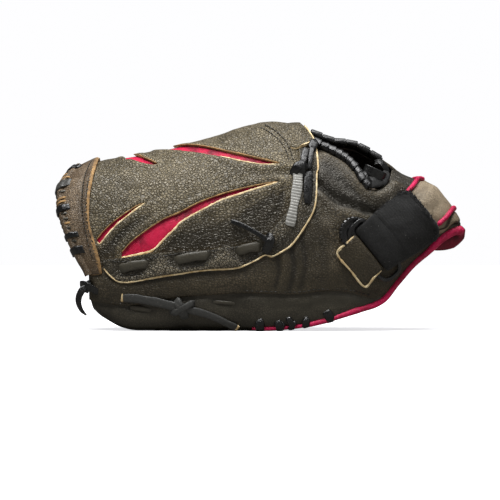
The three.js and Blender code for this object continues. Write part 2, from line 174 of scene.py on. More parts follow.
# --- Lines on the map ---
def smooth(points, step, closed=False):
    """A Catmull-Rom line through the points, resampled at about one step."""
    p = np.asarray(points, float)
    if closed:
        p = np.concatenate([p[-1:], p, p[:2]])
    else:
        p = np.concatenate([[2 * p[0] - p[1]], p, [2 * p[-1] - p[-2]]])
    pieces = []
    for i in range(1, len(p) - 2):
        t = np.linspace(0, 1, 24, endpoint=False)[:, None]
        a, b, c, d = p[i - 1 : i + 3]
        bend = (2 * a - 5 * b + 4 * c - d) * t**2 + (3 * b - 3 * c + d - a) * t**3
        pieces.append(0.5 * (2 * b + (c - a) * t + bend))
    if not closed:
        pieces.append(p[-2:-1])
    dense = np.concatenate(pieces)
    if closed:
        dense = np.concatenate([dense, dense[:1]])
    lengths = np.linalg.norm(np.diff(dense, axis=0), axis=1)
    travelled = np.concatenate([[0], np.cumsum(lengths)])
    count = max(int(round(travelled[-1] / step)), 2)
    stops = np.linspace(0, travelled[-1], count + 1)
    line = np.stack([np.interp(stops, travelled, column) for column in dense.T], 1)
    return line[:-1] if closed else line


def ring_of(edges, step):
    """One closed outline from edges that meet at corners. A single edge is a closed smooth loop."""
    if len(edges) == 1:
        return smooth(edges[0], step, closed=True)
    return np.concatenate([smooth(edge, step)[:-1] for edge in edges])


def between(there, back, *corners):
    """Edges of a sheet between a line there and a line back, with one corner point past each end, or none."""
    turn, home = ([corner] for corner in corners) if corners else ([], [])
    return [there, [there[-1], *turn, back[0]], back, [back[-1], *home, there[0]]]


def distance(points, line):
    """Distance of every map point from a polyline."""
    best = np.full(len(points), 1e9)
    for a, b in zip(line[:-1], line[1:]):
        way = b - a
        t = np.clip(((points - a) @ way) / max(way @ way, 1e-9), 0, 1)
        best = np.minimum(best, np.linalg.norm(points - a - t[:, None] * way, axis=1))
    return best


def inside(points, ring):
    """Which map points lie inside a closed outline."""
    x, y = points.T
    result = np.zeros(len(points), bool)
    for (x0, y0), (x1, y1) in zip(ring, np.roll(ring, -1, axis=0)):
        if y0 == y1:
            continue
        crossing = (y0 > y) != (y1 > y)
        result ^= crossing & (x < x0 + (y - y0) / (y1 - y0) * (x1 - x0))
    return result


def ripple(points, size, seed):
    """Smooth irregular waves between about -1 and 1."""
    random = np.random.RandomState(seed)
    total = np.zeros(len(points))
    for _ in range(7):
        angle = random.uniform(0, 2 * np.pi)
        wave = 2 * np.pi / (size * random.uniform(0.7, 1.6))
        way = np.array([np.cos(angle), np.sin(angle)] + [0.6] * (points.shape[1] - 2))
        total += np.sin(points @ way * wave + random.uniform(0, 2 * np.pi))
    return total / 3.5


def swell(line, width, height, offset=0.0):
    """A raised or, with a negative height, sunk band at an offset from a map line."""

    def value(points):
        return height * np.exp(-(((distance(points, line) - offset) / width) ** 2))

    return value


def ridges(side, *rows):
    """Ridges and creases on one side from (line, width, height) rows, with lines of (x, z) points."""
    return [swell(smooth(chart(side, line), 3.0), width, height) for line, width, height in rows]


# --- Meshes ---
def add(obj):
    """The object, put in the scene."""
    bpy.context.scene.collection.objects.link(obj)
    return obj


def make(name, points, faces, materials, slots=None, shade=None, angle=48):
    """A Blender object from millimetre points, none below the ground. shade marks creases (painted shade) and
    ridges (wear, and painted light).
    """
    points = np.array(points, float)
    points[:, 2] = np.maximum(points[:, 2], 0)
    mesh = bpy.data.meshes.new(name)
    mesh.from_pydata((points * MM).tolist(), [], [tuple(map(int, f)) for f in faces])
    for material in materials:
        mesh.materials.append(material)
    if slots is not None:
        mesh.polygons.foreach_set("material_index", np.asarray(slots, np.int32))
    attribute = mesh.attributes.new("shade", "FLOAT", "POINT")
    values = np.zeros(len(points)) if shade is None else np.clip(shade, -1, 1)
    attribute.data.foreach_set("value", values.astype(np.float32))
    mesh.validate()
    mesh.shade_smooth()
    mesh.set_sharp_from_angle(angle=np.radians(angle))
    return add(bpy.data.objects.new(name, mesh))


def inset(ring, amount):
    """The outline moved inward by an amount."""
    forward = np.roll(ring, -1, axis=0) - np.roll(ring, 1, axis=0)
    normal = np.stack([-forward[:, 1], forward[:, 0]], 1)
    normal /= np.maximum(np.linalg.norm(normal, axis=1), 1e-9)[:, None]
    area = np.sum(ring[:, 0] * np.roll(ring[:, 1], -1) - np.roll(ring[:, 0], -1) * ring[:, 1])
    return ring + np.sign(area) * normal * amount


def triangulate(rings, step, lip):
    """Map points and triangles of an outline with holes: rings[0] is the outline."""
    outline, holes = rings[0], rings[1:]
    low, high = outline.min(0), outline.max(0)
    rows = np.arange(low[1], high[1], step * 0.87)
    grid = []
    for i, a in enumerate(rows):
        xs = np.arange(low[0] + (i % 2) * step / 2, high[0], step)
        grid.append(np.stack([xs, np.full(len(xs), a)], 1))
    grid = np.concatenate(grid)
    rims = [inset(outline, lip)] + [inset(hole, -lip) for hole in holes]
    keep = inside(grid, outline)
    for ring in rings:
        keep &= distance(grid, np.concatenate([ring, ring[:1]])) > lip + 0.45 * step
    for hole in holes:
        keep &= ~inside(grid, hole)
    points = np.concatenate([*rings, *rims, grid[keep]])
    edges = []
    start = 0
    for ring in rings:
        count = len(ring)
        edges += [(start + i, start + (i + 1) % count) for i in range(count)]
        start += count
    result = delaunay_2d_cdt([Vector(p) for p in points.tolist()], edges, [], 0, 1e-5)
    flat = np.array([tuple(v) for v in result[0]])
    faces = np.array(result[2])
    middles = flat[faces].mean(1)
    good = inside(middles, outline)
    for hole in holes:
        good &= ~inside(middles, hole)
    faces = faces[good]
    a, b, c = (flat[faces[:, i]] for i in range(3))
    area = (b[:, 0] - a[:, 0]) * (c[:, 1] - a[:, 1]) - (b[:, 1] - a[:, 1]) * (c[:, 0] - a[:, 0])
    faces = faces[np.abs(area) > 1e-7]
    area = area[np.abs(area) > 1e-7]
    faces[area < 0] = faces[area < 0][:, ::-1]
    used = np.unique(faces)
    renumber = np.full(len(flat), -1)
    renumber[used] = np.arange(len(used))
    return flat[used], renumber[faces]


def border(faces):
    """Edges that belong to one face only, in that face's direction."""
    edges = np.concatenate([faces[:, [0, 1]], faces[:, [1, 2]], faces[:, [2, 0]]])
    keys = np.sort(edges, axis=1)
    _, index, count = np.unique(keys, axis=0, return_index=True, return_counts=True)
    return edges[index[count == 1]]


def panel(name, edges, lift, thick, materials, relief=(), holes=(), puff=(0, 8), step=STEP,
          lumps=0.35, edge_drop=0.45, lip=0.7, dim=None, seed=1):
    """A sheet of leather: an outer face with relief, an inner face and a cut edge between them.

    puff is (height, distance from the edge where it is reached), lumps the height of soft waves,
    edge_drop how far the outer face dips at its edges, and lip the width of that dip. Materials are those
    of the outer face, the cut edge and the inner face. dim is added to the shade: below zero is darker.
    """
    rings = [ring_of(edges, step)]
    rings += [ring_of(hole, step * 0.6) for hole in holes]
    flat, faces = triangulate(rings, step, lip)
    rims = [np.concatenate([ring, ring[:1]]) for ring in rings]
    margin = distance(flat, rims[0])
    near = np.minimum.reduce([distance(flat, rim) for rim in rims])
    detail = np.zeros(len(flat))
    for feature in relief:
        detail += feature(flat)
    soft = puff[0] * (1 - np.exp(-((margin / puff[1]) ** 2)))
    soft += lumps * ripple(flat, 26, seed) + 0.4 * lumps * ripple(flat, 9, seed + 50)
    soft += lift(flat) if callable(lift) else lift
    top = detail + soft - edge_drop * (near < 0.2)
    bottom = 0.8 * detail + soft - thick
    count = len(flat)
    points = np.concatenate([skin(flat, top), skin(flat, bottom)])
    rim_edges = border(faces)
    walls = np.stack([rim_edges[:, 1], rim_edges[:, 0], rim_edges[:, 0] + count,
                      rim_edges[:, 1] + count], 1)
    back = faces[:, ::-1] + count
    all_faces = faces.tolist() + back.tolist() + walls.tolist()
    slots = [0] * len(faces) + [len(materials) - 1] * len(back) + [1] * len(walls)
    # The shade mark: relief creases are painted shade, ridges and cut edges lighten as wear, and dim adds
    # painted light and shade.
    tone = detail / 1.6 + 0.25 * np.exp(-near / 1.2)
    if dim is not None:
        tone += dim(flat)
    shade = np.concatenate([tone, np.zeros(count)])
    return make(name, points, all_faces, materials, slots, shade)


def sleeve(rows, around, loop=False):
    """Four-sided faces between neighbouring rings of points, in a loop also from the last to the first."""
    faces = []
    for i in range(rows if loop else rows - 1):
        here, there = i * around, (i + 1) % rows * around
        for j in range(around):
            k = (j + 1) % around
            faces.append((here + j, here + k, there + k, there + j))
    return faces


def ends(rows, around):
    """Faces that close a sleeve at its first and its last ring."""
    last = (rows - 1) * around
    return [tuple(reversed(range(around))), tuple(range(last, last + around))]


def squared(values, power):
    """Cosines or sines bent towards a square outline."""
    return np.sign(values) * np.abs(values) ** power


def ribbon_parts(centres, wide_way, width, thick, sides=12, sharp=0.55, loop=False):
    """Points and faces of a band along 3-D centres, wide along wide_way. sharp is 1 for a round section."""
    centres = np.asarray(centres, float)
    count = len(centres)
    if loop:
        forward = np.roll(centres, -1, axis=0) - np.roll(centres, 1, axis=0)
    else:
        forward = np.gradient(centres, axis=0)
    forward /= np.maximum(np.linalg.norm(forward, axis=1), 1e-9)[:, None]
    wide = wide_way - np.sum(wide_way * forward, axis=1)[:, None] * forward
    wide /= np.maximum(np.linalg.norm(wide, axis=1), 1e-9)[:, None]
    deep = np.cross(wide, forward)
    angles = (np.arange(sides) + 0.5) / sides * 2 * np.pi
    across = squared(np.cos(angles), sharp)
    up = squared(np.sin(angles), sharp)
    width = np.broadcast_to(np.asarray(width, float), (count,))
    thick = np.broadcast_to(np.asarray(thick, float), (count,))
    ring = (
        centres[:, None]
        + wide[:, None] * (across[None, :, None] * width[:, None, None] / 2)
        + deep[:, None] * (up[None, :, None] * thick[:, None, None] / 2)
    )
    points = ring.reshape(-1, 3)
    faces = sleeve(count, sides, loop)
    if not loop:
        faces += ends(count, sides)
    return points, faces


def tapered(count, tip=0.8, ends=2):
    """Sizes along a lace that round off its cut ends."""
    sizes = np.ones(count)
    for i in range(min(ends, count // 2)):
        sizes[i] = tip + (1 - tip) * i / ends
        sizes[-1 - i] = sizes[i]
    return sizes


def cord(side, points, width, thick, seed=3, step=1.2, wobble=0.25, sharp=0.55, crimp=0.0):
    """Points and faces of a lace on the skin through (x, z, lift) points, with creases across it."""
    line = smooth(chart(side, points), step)
    flat, lift = line[:, :2], line[:, 2]
    along = np.arange(len(line)) * step
    centres = skin(flat, lift + crimp * np.sin(along / CRIMP_PITCH * 2 * np.pi))
    normal = outward(flat)
    forward = np.gradient(centres, axis=0)
    wide = np.cross(forward, normal)
    travelled = np.arange(len(line))[:, None] * step * np.array([[1.0, 0.3]])
    size = tapered(len(line)) * (1 + wobble * 0.3 * ripple(travelled, 14, seed))
    return ribbon_parts(centres, wide, width * size, thick * tapered(len(line), 0.6), 12, sharp)


def joined(name, parts, materials, angle=60):
    """One piece from many separate shells, such as the stitches of a seam."""
    points, faces, start = [], [], 0
    for shell_points, shell_faces in parts:
        points.append(shell_points)
        faces += [tuple(start + i for i in face) for face in shell_faces]
        start += len(shell_points)
    return make(name, np.concatenate(points), faces, materials, angle=angle)


def tube_parts(centres, radius):
    """A round cord along 3-D centres with a radius for each."""
    centres = np.asarray(centres, float)
    forward = np.gradient(centres, axis=0)
    reference = np.cross(forward, [0.0, 1.0, 0.15])
    return ribbon_parts(centres, reference, 2 * radius, 2 * radius, 14, 1.0)


def stitches(line, lift, pitch=3.3, length=2.2):
    """Thread stitches along a map line, as shells."""
    thick, step = 0.62, 0.4
    line = smooth(line, step)
    travelled = np.arange(len(line)) * step
    parts = []
    for start in np.arange(0.5, travelled[-1] - length, pitch):
        stops = np.linspace(start, start + length, 5)
        flat = np.stack([np.interp(stops, travelled, line[:, i]) for i in (0, 1)], 1)
        rise = lift + np.array([-0.35, 0.12, 0.25, 0.12, -0.35])
        centres = skin(flat, rise)
        wide = np.cross(np.gradient(centres, axis=0), outward(flat))
        parts.append(ribbon_parts(centres, wide, thick, thick, 6, 1.0))
    return parts


# --- Materials ---
def colour(display):
    """A linear colour from 0-255 display values."""
    values = np.array(display) / 255
    linear = np.where(values <= 0.04045, values / 12.92, ((values + 0.055) / 1.055) ** 2.4)
    return (*linear.tolist(), 1.0)


class Shader:
    """A small helper that builds one node material."""

    def __init__(self, name):
        self.material = bpy.data.materials.new(name)
        self.material.use_nodes = True
        self.tree = self.material.node_tree
        self.surface = self.tree.nodes["Principled BSDF"]
        self.place = self.node("TexCoord").outputs["Object"]

    def node(self, kind, inputs=None, **settings):
        """A new node of a kind, with its inputs set or linked."""
        made = self.tree.nodes.new("ShaderNode" + kind)
        for key, value in settings.items():
            setattr(made, key, value)
        for key, value in (inputs or {}).items():
            self.set(made.inputs[key], value)
        return made

    def set(self, socket, value):
        """Links a socket to another, or gives it a fixed value."""
        if isinstance(value, bpy.types.NodeSocket):
            self.tree.links.new(value, socket)
        else:
            socket.default_value = value

    def noise(self, size, detail=3.0, roughness=0.55, stretch=None):
        """Soft noise of a size in millimetres."""
        place = self.place
        if stretch:
            place = self.node("Mapping", {"Vector": place, "Scale": stretch}).outputs[0]
        inputs = {"Vector": place, "Scale": 1 / (size * MM), "Detail": detail, "Roughness": roughness}
        return self.node("TexNoise", inputs).outputs[0]

    def cells(self, size):
        """Distance to the nearest border between irregular cells of a size in millimetres."""
        inputs = {"Vector": self.place, "Scale": 1 / (size * MM), "Randomness": 1.0}
        return self.node("TexVoronoi", inputs, feature="DISTANCE_TO_EDGE").outputs[0]

    def span(self, value, low, high, to_low=0.0, to_high=1.0):
        """A value eased from one range to another."""
        inputs = {0: value, 1: low, 2: high, 3: to_low, 4: to_high}
        return self.node("MapRange", inputs, interpolation_type="SMOOTHSTEP").outputs[0]

    def math(self, operation, a, b=0.0):
        """One sum or product of values."""
        return self.node("Math", {0: a, 1: b}, operation=operation).outputs[0]

    def mix(self, factor, a, b):
        """A colour between two, by a factor."""
        return self.node("Mix", {0: factor, 6: a, 7: b}, data_type="RGBA").outputs[2]

    def shade(self):
        """The mark of creases and ridges that the mesh carries: low values paint shade, high ones wear and
        painted light.
        """
        return self.node("Attribute", attribute_name="shade").outputs["Fac"]

    def bump(self, height, depth, normal=None):
        """A surface direction from a height map, with its depth in millimetres."""
        inputs = {"Height": height, "Distance": depth * MM, "Strength": 1.0}
        if normal is not None:
            inputs["Normal"] = normal
        return self.node("Bump", inputs).outputs[0]

    def finish(self, base, roughness, normal, **extra):
        """The finished material from its colour, roughness and surface direction."""
        self.set(self.surface.inputs["Base Color"], base)
        self.set(self.surface.inputs["Roughness"], roughness)
        self.set(self.surface.inputs["Normal"], normal)
        for key, value in extra.items():
            self.set(self.surface.inputs[key.replace("_", " ")], value)
        return self.material


def faded(tone, share):
    """The same colour at a share of its strength."""
    return tuple(share * value for value in tone[:3]) + (1.0,)


def leather(name, dark, base, worn, grain=2.1, depth=0.42, rough=(0.36, 0.52), wear=0.4, crack=0.8,
            sheen=0.0):
    """Pebbled leather: cracks between pebbles, worn tops, blotches, creases darkened as painted shade, and
    ridges lightened as wear and painted light.
    """
    dark, base, worn = map(colour, (dark, base, worn))
    shader = Shader(name)
    wander = shader.noise(grain * 1.6, 3, 0.6)
    edge = shader.cells(grain)
    pebble = shader.span(edge, 0.0, 0.26)
    tone = shader.span(shader.noise(38, 4), 0.35, 0.65)
    blotch = shader.span(shader.noise(11, 5, 0.6), 0.42, 0.68)
    fine = shader.noise(0.7, 3)
    scuff = shader.span(shader.noise(5, 5, 0.65), 0.55, 0.74)
    shade = shader.shade()
    ground = shader.mix(tone, dark, base)
    # Worn patches on the pebble tops: real wear.
    wear_and_painted_shading = shader.math("MULTIPLY", shader.math("ADD", blotch, shader.math("MULTIPLY", scuff, 0.6)), wear)
    ground = shader.mix(shader.math("MULTIPLY", wear_and_painted_shading, pebble), ground, worn)
    # Ridges, and the areas that dim raises, take the worn colour: wear on the ridges, painted light on the
    # lit areas.
    high = shader.span(shade, 0.15, 0.95, 0.0, 0.6)
    ground = shader.mix(shader.math("MULTIPLY", high, pebble), ground, worn)
    # Creases, low in the shade mark, darken towards black: painted shade.
    low = shader.span(shade, -0.75, -0.05, 0.9, 0.0)
    ground = shader.mix(low, ground, faded(dark, 0.15))
    ground = shader.mix(shader.span(edge, 0.0, 0.12, crack, 0.0), ground, faded(dark, 0.2))
    shine = shader.node("MapRange", {0: blotch, 1: 0.0, 2: 1.0, 3: rough[0], 4: rough[1]}).outputs[0]
    soft = shader.bump(shader.noise(6, 3), 0.5)
    uneven = shader.math("MULTIPLY", pebble, shader.span(wander, 0.3, 0.7, 0.55, 1.25))
    normal = shader.bump(fine, 0.05, shader.bump(uneven, depth, soft))
    return shader.finish(ground, shine, normal, Sheen_Weight=sheen, Specular_Tint=(1.0, 0.95, 0.85, 1.0))


def satin(name, shadow, base, glow):
    """Smooth coloured leather with a fine pull of the grain."""
    shadow, base, glow = map(colour, (shadow, base, glow))
    shader = Shader(name)
    tone = shader.span(shader.noise(14, 4), 0.35, 0.65)
    fine = shader.cells(0.7)
    ground = shader.mix(tone, shadow, base)
    ground = shader.mix(shader.span(shader.noise(3, 5), 0.5, 0.8, 0.0, 0.5), ground, glow)
    # Creases darken towards the shadow colour: painted shade.
    ground = shader.mix(shader.span(shader.shade(), -0.8, 0.0, 0.7, 0.0), ground, shadow)
    grime = shader.span(shader.noise(6, 6, 0.7), 0.56, 0.75, 0.0, 0.45)
    ground = shader.mix(grime, ground, faded(shadow, 0.35))
    normal = shader.bump(shader.span(fine, 0, 0.3), 0.06, shader.bump(shader.noise(2.2, 4), 0.25))
    return shader.finish(ground, 0.5, normal, Specular_IOR_Level=0.3)


def waxed(name, base, worn, rough=(0.3, 0.52)):
    """Lace leather: dark, waxed, with stretch lines and worn patches."""
    base, worn = map(colour, (base, worn))
    shader = Shader(name)
    tone = shader.span(shader.noise(5, 5, 0.6), 0.35, 0.7)
    rub = shader.span(shader.noise(1.6, 5, 0.7), 0.52, 0.75, 0.0, 0.75)
    ground = shader.mix(shader.math("MULTIPLY", rub, tone), base, worn)
    shine = shader.span(shader.noise(3.5, 4), 0.3, 0.7, *rough)
    normal = shader.bump(shader.noise(0.6, 4), 0.08, shader.bump(shader.noise(2.4, 4), 0.35))
    return shader.finish(ground, shine, normal)


def raw_edge(name, pale, tan):
    """The cut edge of leather: pale fibres with a dyed rim."""
    pale, tan = map(colour, (pale, tan))
    shader = Shader(name)
    ground = shader.mix(shader.span(shader.noise(4, 5, 0.7), 0.35, 0.65), pale, tan)
    dirt = shader.span(shader.noise(9, 5), 0.5, 0.72, 0.0, 0.6)
    ground = shader.mix(dirt, ground, faded(tan, 0.35))
    normal = shader.bump(shader.noise(0.5, 4), 0.12)
    return shader.finish(ground, 0.8, normal)


def fuzzy(name, base, tip, size=0.55, sheen=0.3):
    """Felt or loop pile: matted fibres that catch light at the edges."""
    base, tip = map(colour, (base, tip))
    shader = Shader(name)
    fibre = shader.noise(size, 5, 0.8)
    mat = shader.noise(3.5, 4, 0.7)
    ground = shader.mix(shader.span(fibre, 0.45, 0.75), base, tip)
    ground = shader.mix(shader.span(mat, 0.4, 0.7, 0.0, 0.4), ground, base)
    lint = shader.span(shader.noise(1.5, 1, 0.4), 0.76, 0.8, 0.0, 0.6)
    ground = shader.mix(lint, ground, colour((150, 148, 144)))
    normal = shader.bump(fibre, 0.35, shader.bump(mat, 0.6))
    return shader.finish(ground, 0.95, normal, Sheen_Weight=sheen, Sheen_Roughness=0.6)


def moulded(name, base):
    """Glossy moulded plastic with fine scratches and a little dust."""
    shader = Shader(name)
    scratch = shader.noise(1.2, 4, 0.7, (1, 6, 1))
    dust = shader.span(shader.noise(7, 5, 0.7), 0.5, 0.75, 0.0, 0.25)
    ground = shader.mix(dust, colour(base), colour((92, 90, 86)))
    shine = shader.span(scratch, 0.4, 0.75, 0.26, 0.44)
    normal = shader.bump(scratch, 0.02)
    return shader.finish(ground, shine, normal)


pebbled = leather("pebbled_leather", (70, 63, 48), (98, 89, 70), (144, 132, 106))
heel_grain = leather("heel_leather", (43, 38, 28), (61, 54, 40), (100, 89, 70), grain=1.8,
                     depth=0.2, rough=(0.44, 0.6), wear=0.3, crack=0.55)
flap_grain = leather("flap_leather", (34, 31, 24), (50, 46, 36), (140, 130, 110), grain=1.8,
                     depth=0.3, wear=0.25, crack=0.6)
smooth_dark = leather("smooth_dark_leather", (35, 33, 27), (49, 46, 38), (78, 73, 62),
                      grain=1.4, depth=0.07, rough=(0.34, 0.5), wear=0.25, crack=0.25)
brown = leather("brown_worn_leather", (58, 46, 34), (92, 76, 58), (142, 122, 98),
                grain=1.3, depth=0.18, rough=(0.4, 0.6), wear=0.6, crack=0.5)
band_leather = leather("wrist_band_leather", (104, 92, 74), (139, 124, 102), (170, 154, 130),
                       grain=1.0, depth=0.1, rough=(0.5, 0.7), wear=0.4, crack=0.35)
palm_grain = leather("palm_leather", (40, 34, 26), (64, 55, 44), (104, 90, 72), depth=0.12)
lining_soft = leather("lining_leather", (34, 22, 21), (50, 34, 31), (76, 56, 50),
                      grain=0.9, depth=0.05, rough=(0.6, 0.8), wear=0.3)
flesh = leather("flesh_side", (60, 50, 40), (84, 71, 57), (112, 98, 80),
                grain=0.8, depth=0.05, rough=(0.8, 0.95), wear=0.5, sheen=0.2)
pink = satin("pink_inlay", (112, 6, 34), (198, 18, 66), (226, 50, 98))
pink_piping = satin("pink_piping", (160, 14, 58), (226, 34, 96), (240, 80, 134))
# Dark red of the wrist lining as it looks in shade: painted shade.
shaded_red = satin("shaded_red_lining", (70, 6, 20), (128, 12, 42), (160, 34, 62))
lace_black = waxed("waxed_lace", (8, 8, 8), (44, 44, 42), (0.22, 0.4))
# Near-black lace for the knot's inner turns: painted shadow.
shadow_lace = waxed("painted_shadow_lace", (3, 3, 3), (12, 12, 12), (0.6, 0.8))
lace_brown = waxed("dark_brown_lace", (60, 56, 45), (98, 91, 75), (0.4, 0.6))
lace_tail = waxed("grey_black_lace", (54, 54, 52), (122, 120, 114), (0.4, 0.6))
lace_worn = waxed("worn_dark_lace", (52, 51, 48), (104, 102, 97))
lace_grey = waxed("worn_grey_lace", (150, 149, 144), (226, 224, 218))
cream_edge = raw_edge("cream_cut_edge", (240, 222, 180), (200, 170, 120))
tan_edge = raw_edge("tan_cut_edge", (168, 132, 84), (120, 92, 58))
thread = waxed("thread", (30, 27, 21), (96, 88, 70))
loop_pile = fuzzy("loop_pile", (5, 5, 5), (48, 48, 46), sheen=0.08)
felt = fuzzy("felt", (120, 114, 98), (168, 160, 142), 0.8, sheen=0.35)
plastic = moulded("glossy_plastic", (16, 16, 17))


def settle(obj, body, slot, *nodes):
    """The piece rides on a body and stands for CAD nodes, which it hides; slot is not used."""
    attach(obj, body)
    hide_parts(*nodes)
    return obj


def tied(name, parts, material, body, slot, *nodes):
    """One piece of many shells, such as a knot or a row of stitches, on one body."""
    return settle(joined(name, parts, [material]), body, slot, *nodes)


def sew(name, lines, lift, body, **spacing):
    """Thread stitches along map lines."""
    parts = [part for line in lines for part in stitches(line, lift, **spacing)]
    return tied(name, parts, thread, body, "leather")


def bridge(obj, slot, *nodes, half=CREST_HALF):
    """The piece crosses the crest, from the thumb half to the finger half: its transform is baked into its
    mesh and it stands for CAD nodes, which it hides.
    """
    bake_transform(obj)
    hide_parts(*nodes)
    return obj


# --- Web ---
def mirrored(points):
    """A map line and its mirror image across the crest, as one line from thumb side to finger side."""
    return points + [(x, -a) for x, a in reversed(points)]


SLOT_A_LOW = [(-96, 121), (-92, 120.6), (-86.5, 119), (-79.5, 117.3)]
SLOT_A_HIGH = [(-79.5, 120.5), (-84.5, 122.6)]
SLOT_B_LOW = [(-66, 128), (-57, 127), (-43, 125), (-29, 122.3), (-14.5, 119), (-0.5, 116.6)]
SLOT_B_HIGH = [(7, 118.4), (-4, 121.1), (-14.5, 123.7), (-25.5, 126.2), (-36, 128.8), (-46.5, 130.8),
               (-56, 131.3)]
SLOT_C = [
    (-115, 64.5), (-110, 70.5), (-102.5, 77.3), (-94.5, 83), (-87, 87.7), (-81.5, 89.5),
    (-88.5, 84.5), (-94.5, 79.8), (-101, 74.5), (-107, 68), (-113, 61),
]
SLOT_D_HIGH = [
    (-97.5, 55.5), (-91, 62.5), (-84, 68), (-75.5, 74), (-68, 78.5), (-57.5, 83), (-43, 90.3),
    (-29, 95.5), (-14.5, 99.5), (-0.5, 102.5), (13, 104.2),
]
SLOT_D_LOW = [
    (13, 104.2), (-0.5, 100.5), (-14.5, 96), (-29, 91), (-44.5, 83), (-56, 76.3), (-60.5, 71.5),
    (-66.5, 65.8), (-73.5, 58.5), (-78, 55.6),
]
SLOT_D_FOOT = [(-78, 55.6), (-87, 53.6), (-97.8, 51.6)]


def web_slots():
    """Outlines of the four slots on the map: two go over the crest, two are on the thumb side."""
    a_low = chart(THUMB, SLOT_A_LOW)
    a_high = chart(THUMB, SLOT_A_HIGH)
    tip_a = chart(THUMB, [(-74, 117.4)])
    half_a = a_low + tip_a + a_high
    slot_a = [[(-98.5, 0), *half_a, (-90.5, 0), *[(x, -a) for x, a in reversed(half_a)]]]
    half_b = chart(THUMB, SLOT_B_LOW + [(12.5, 116.2)] + SLOT_B_HIGH)
    slot_b = [[(-74, 0), *half_b, (-62.5, 0), *[(x, -a) for x, a in reversed(half_b)]]]
    slot_c = [chart(THUMB, SLOT_C)]
    foot = chart(THUMB, SLOT_D_FOOT)
    high = chart(THUMB, SLOT_D_HIGH)
    low = chart(THUMB, SLOT_D_LOW)
    slot_d = [[foot[-1], high[0]], high, low, foot]
    return slot_a, slot_b, slot_c, slot_d


def edge_strip(line, width, lift=-0.1, thick=0.9, seed=1):
    """A strip of raw leather edge along a map line, a little uneven in width."""
    line = smooth(line, 1.0)
    centres = skin(line, lift)
    wide = np.cross(np.gradient(centres, axis=0), outward(line))
    size = width * tapered(len(line), 0.45, 4) * (1 + 0.22 * ripple(line, 5, seed))
    return ribbon_parts(centres, wide, size, thick, 10, 0.7)


def web_slot_edges():
    """The raw edges of the leather round the slots, thick and pale where the leather is folded open."""
    b_high = chart(THUMB, [(12.5, 116.9), *SLOT_B_HIGH]) + [(-62.5, -0.5)]
    b_low = chart(THUMB, [(12.5, 116.2), *reversed(SLOT_B_LOW)])
    a_high = chart(THUMB, [(-74, 117.6), *SLOT_A_HIGH]) + [(-90.5, -0.5)]
    c_high, c_low = SLOT_C[:6], SLOT_C[5:] + [(-114.5, 62.5)]
    pale = [
        edge_strip(chart(THUMB, c_low), 1.3, seed=2),
        edge_strip(chart(THUMB, SLOT_D_LOW + SLOT_D_FOOT), 1.45, seed=3),
        edge_strip(b_low[:4], 1.0, seed=4),
    ]
    tan = [
        edge_strip(mirrored(b_high), 1.1, lift=0.3, seed=5),
        edge_strip(mirrored(a_high), 0.9, lift=0.2, seed=6),
        edge_strip(chart(THUMB, c_high), 0.8, seed=7),
        edge_strip(chart(THUMB, SLOT_D_HIGH), 0.9, seed=8),
    ]
    bridge(joined("web_slot_pale_edges", pale, [cream_edge]), "leather")
    bridge(joined("web_slot_tan_edges", tan, [tan_edge]), "leather")


def web_leather():
    """The pebbled web over the crest, cut open at its slots."""
    near = chart(THUMB, [(-124, 50), (-60, 53), (0, 60), (30, 80)])
    far = chart(FINGERS, [(18, 110), (0, 111), (-60, 106), (-124, 102)])
    edges = between(near, far, (35, 0), (-130, 0))
    slots = web_slots()
    relief = []
    for slot in slots:
        ring = ring_of(slot, 1.5)
        rim = np.concatenate([ring, ring[:1]])
        relief += [swell(rim, 3.0, 0.7, 2.6), swell(rim, 1.0, -0.35, 5.4)]
    relief += ridges(
        THUMB,
        ([(12, 116.2), (21, 114.5)], 2.4, 1.2),
        ([(13, 104.2), (21, 104.5)], 2.2, 1.2),
        ([(16, 110), (4, 110), (-8, 110)], 2.0, -0.6),
        ([(-81.5, 89.5), (-76, 92.5), (-70, 95.5)], 1.2, -0.8),
        ([(-110, 57), (-104, 63), (-97, 69), (-88, 76), (-78, 82)], 2.2, -0.6),
        ([(-60, 63), (-42, 69), (-22, 76), (-4, 86), (8, 94)], 2.6, -0.5),
        ([(-52, 66), (-34, 71), (-16, 79)], 4, 0.5),
        ([(-106, 104), (-96, 100), (-86, 98)], 4, -0.4),
        ([(14, 96), (10, 84), (2, 74)], 2.0, -0.9),
        # A broad shallow hollow on the lower web, darkened by the shade mark: painted shade.
        ([(-72, 59), (-42, 64), (-12, 74), (8, 86)], 11, -0.45),
    )
    high, low = (-a for _, a in chart(THUMB, [(-40, 92), (-40, 60)]))

    # Painted light and shade: the web is lighter near the crest, where the light falls from above, and darker
    # towards its lower part on the thumb side.
    def wear_and_painted_shading(flat):
        painted_low_shade = np.clip((-flat[:, 1] - high) / (low - high), 0, 1)
        return 0.4 * np.clip(1 - np.abs(flat[:, 1]) / high, 0, 1) - 0.62 * painted_low_shade

    leather_sheet = panel("web_leather", edges, 0, 1.3, [pebbled, tan_edge, flesh], relief=relief,
                          holes=slots, step=1.7, lumps=0.22, edge_drop=0.45, lip=0.8, dim=wear_and_painted_shading, seed=4)
    bridge(leather_sheet, "leather", "web_thumb_panel", "web_fingers_panel")


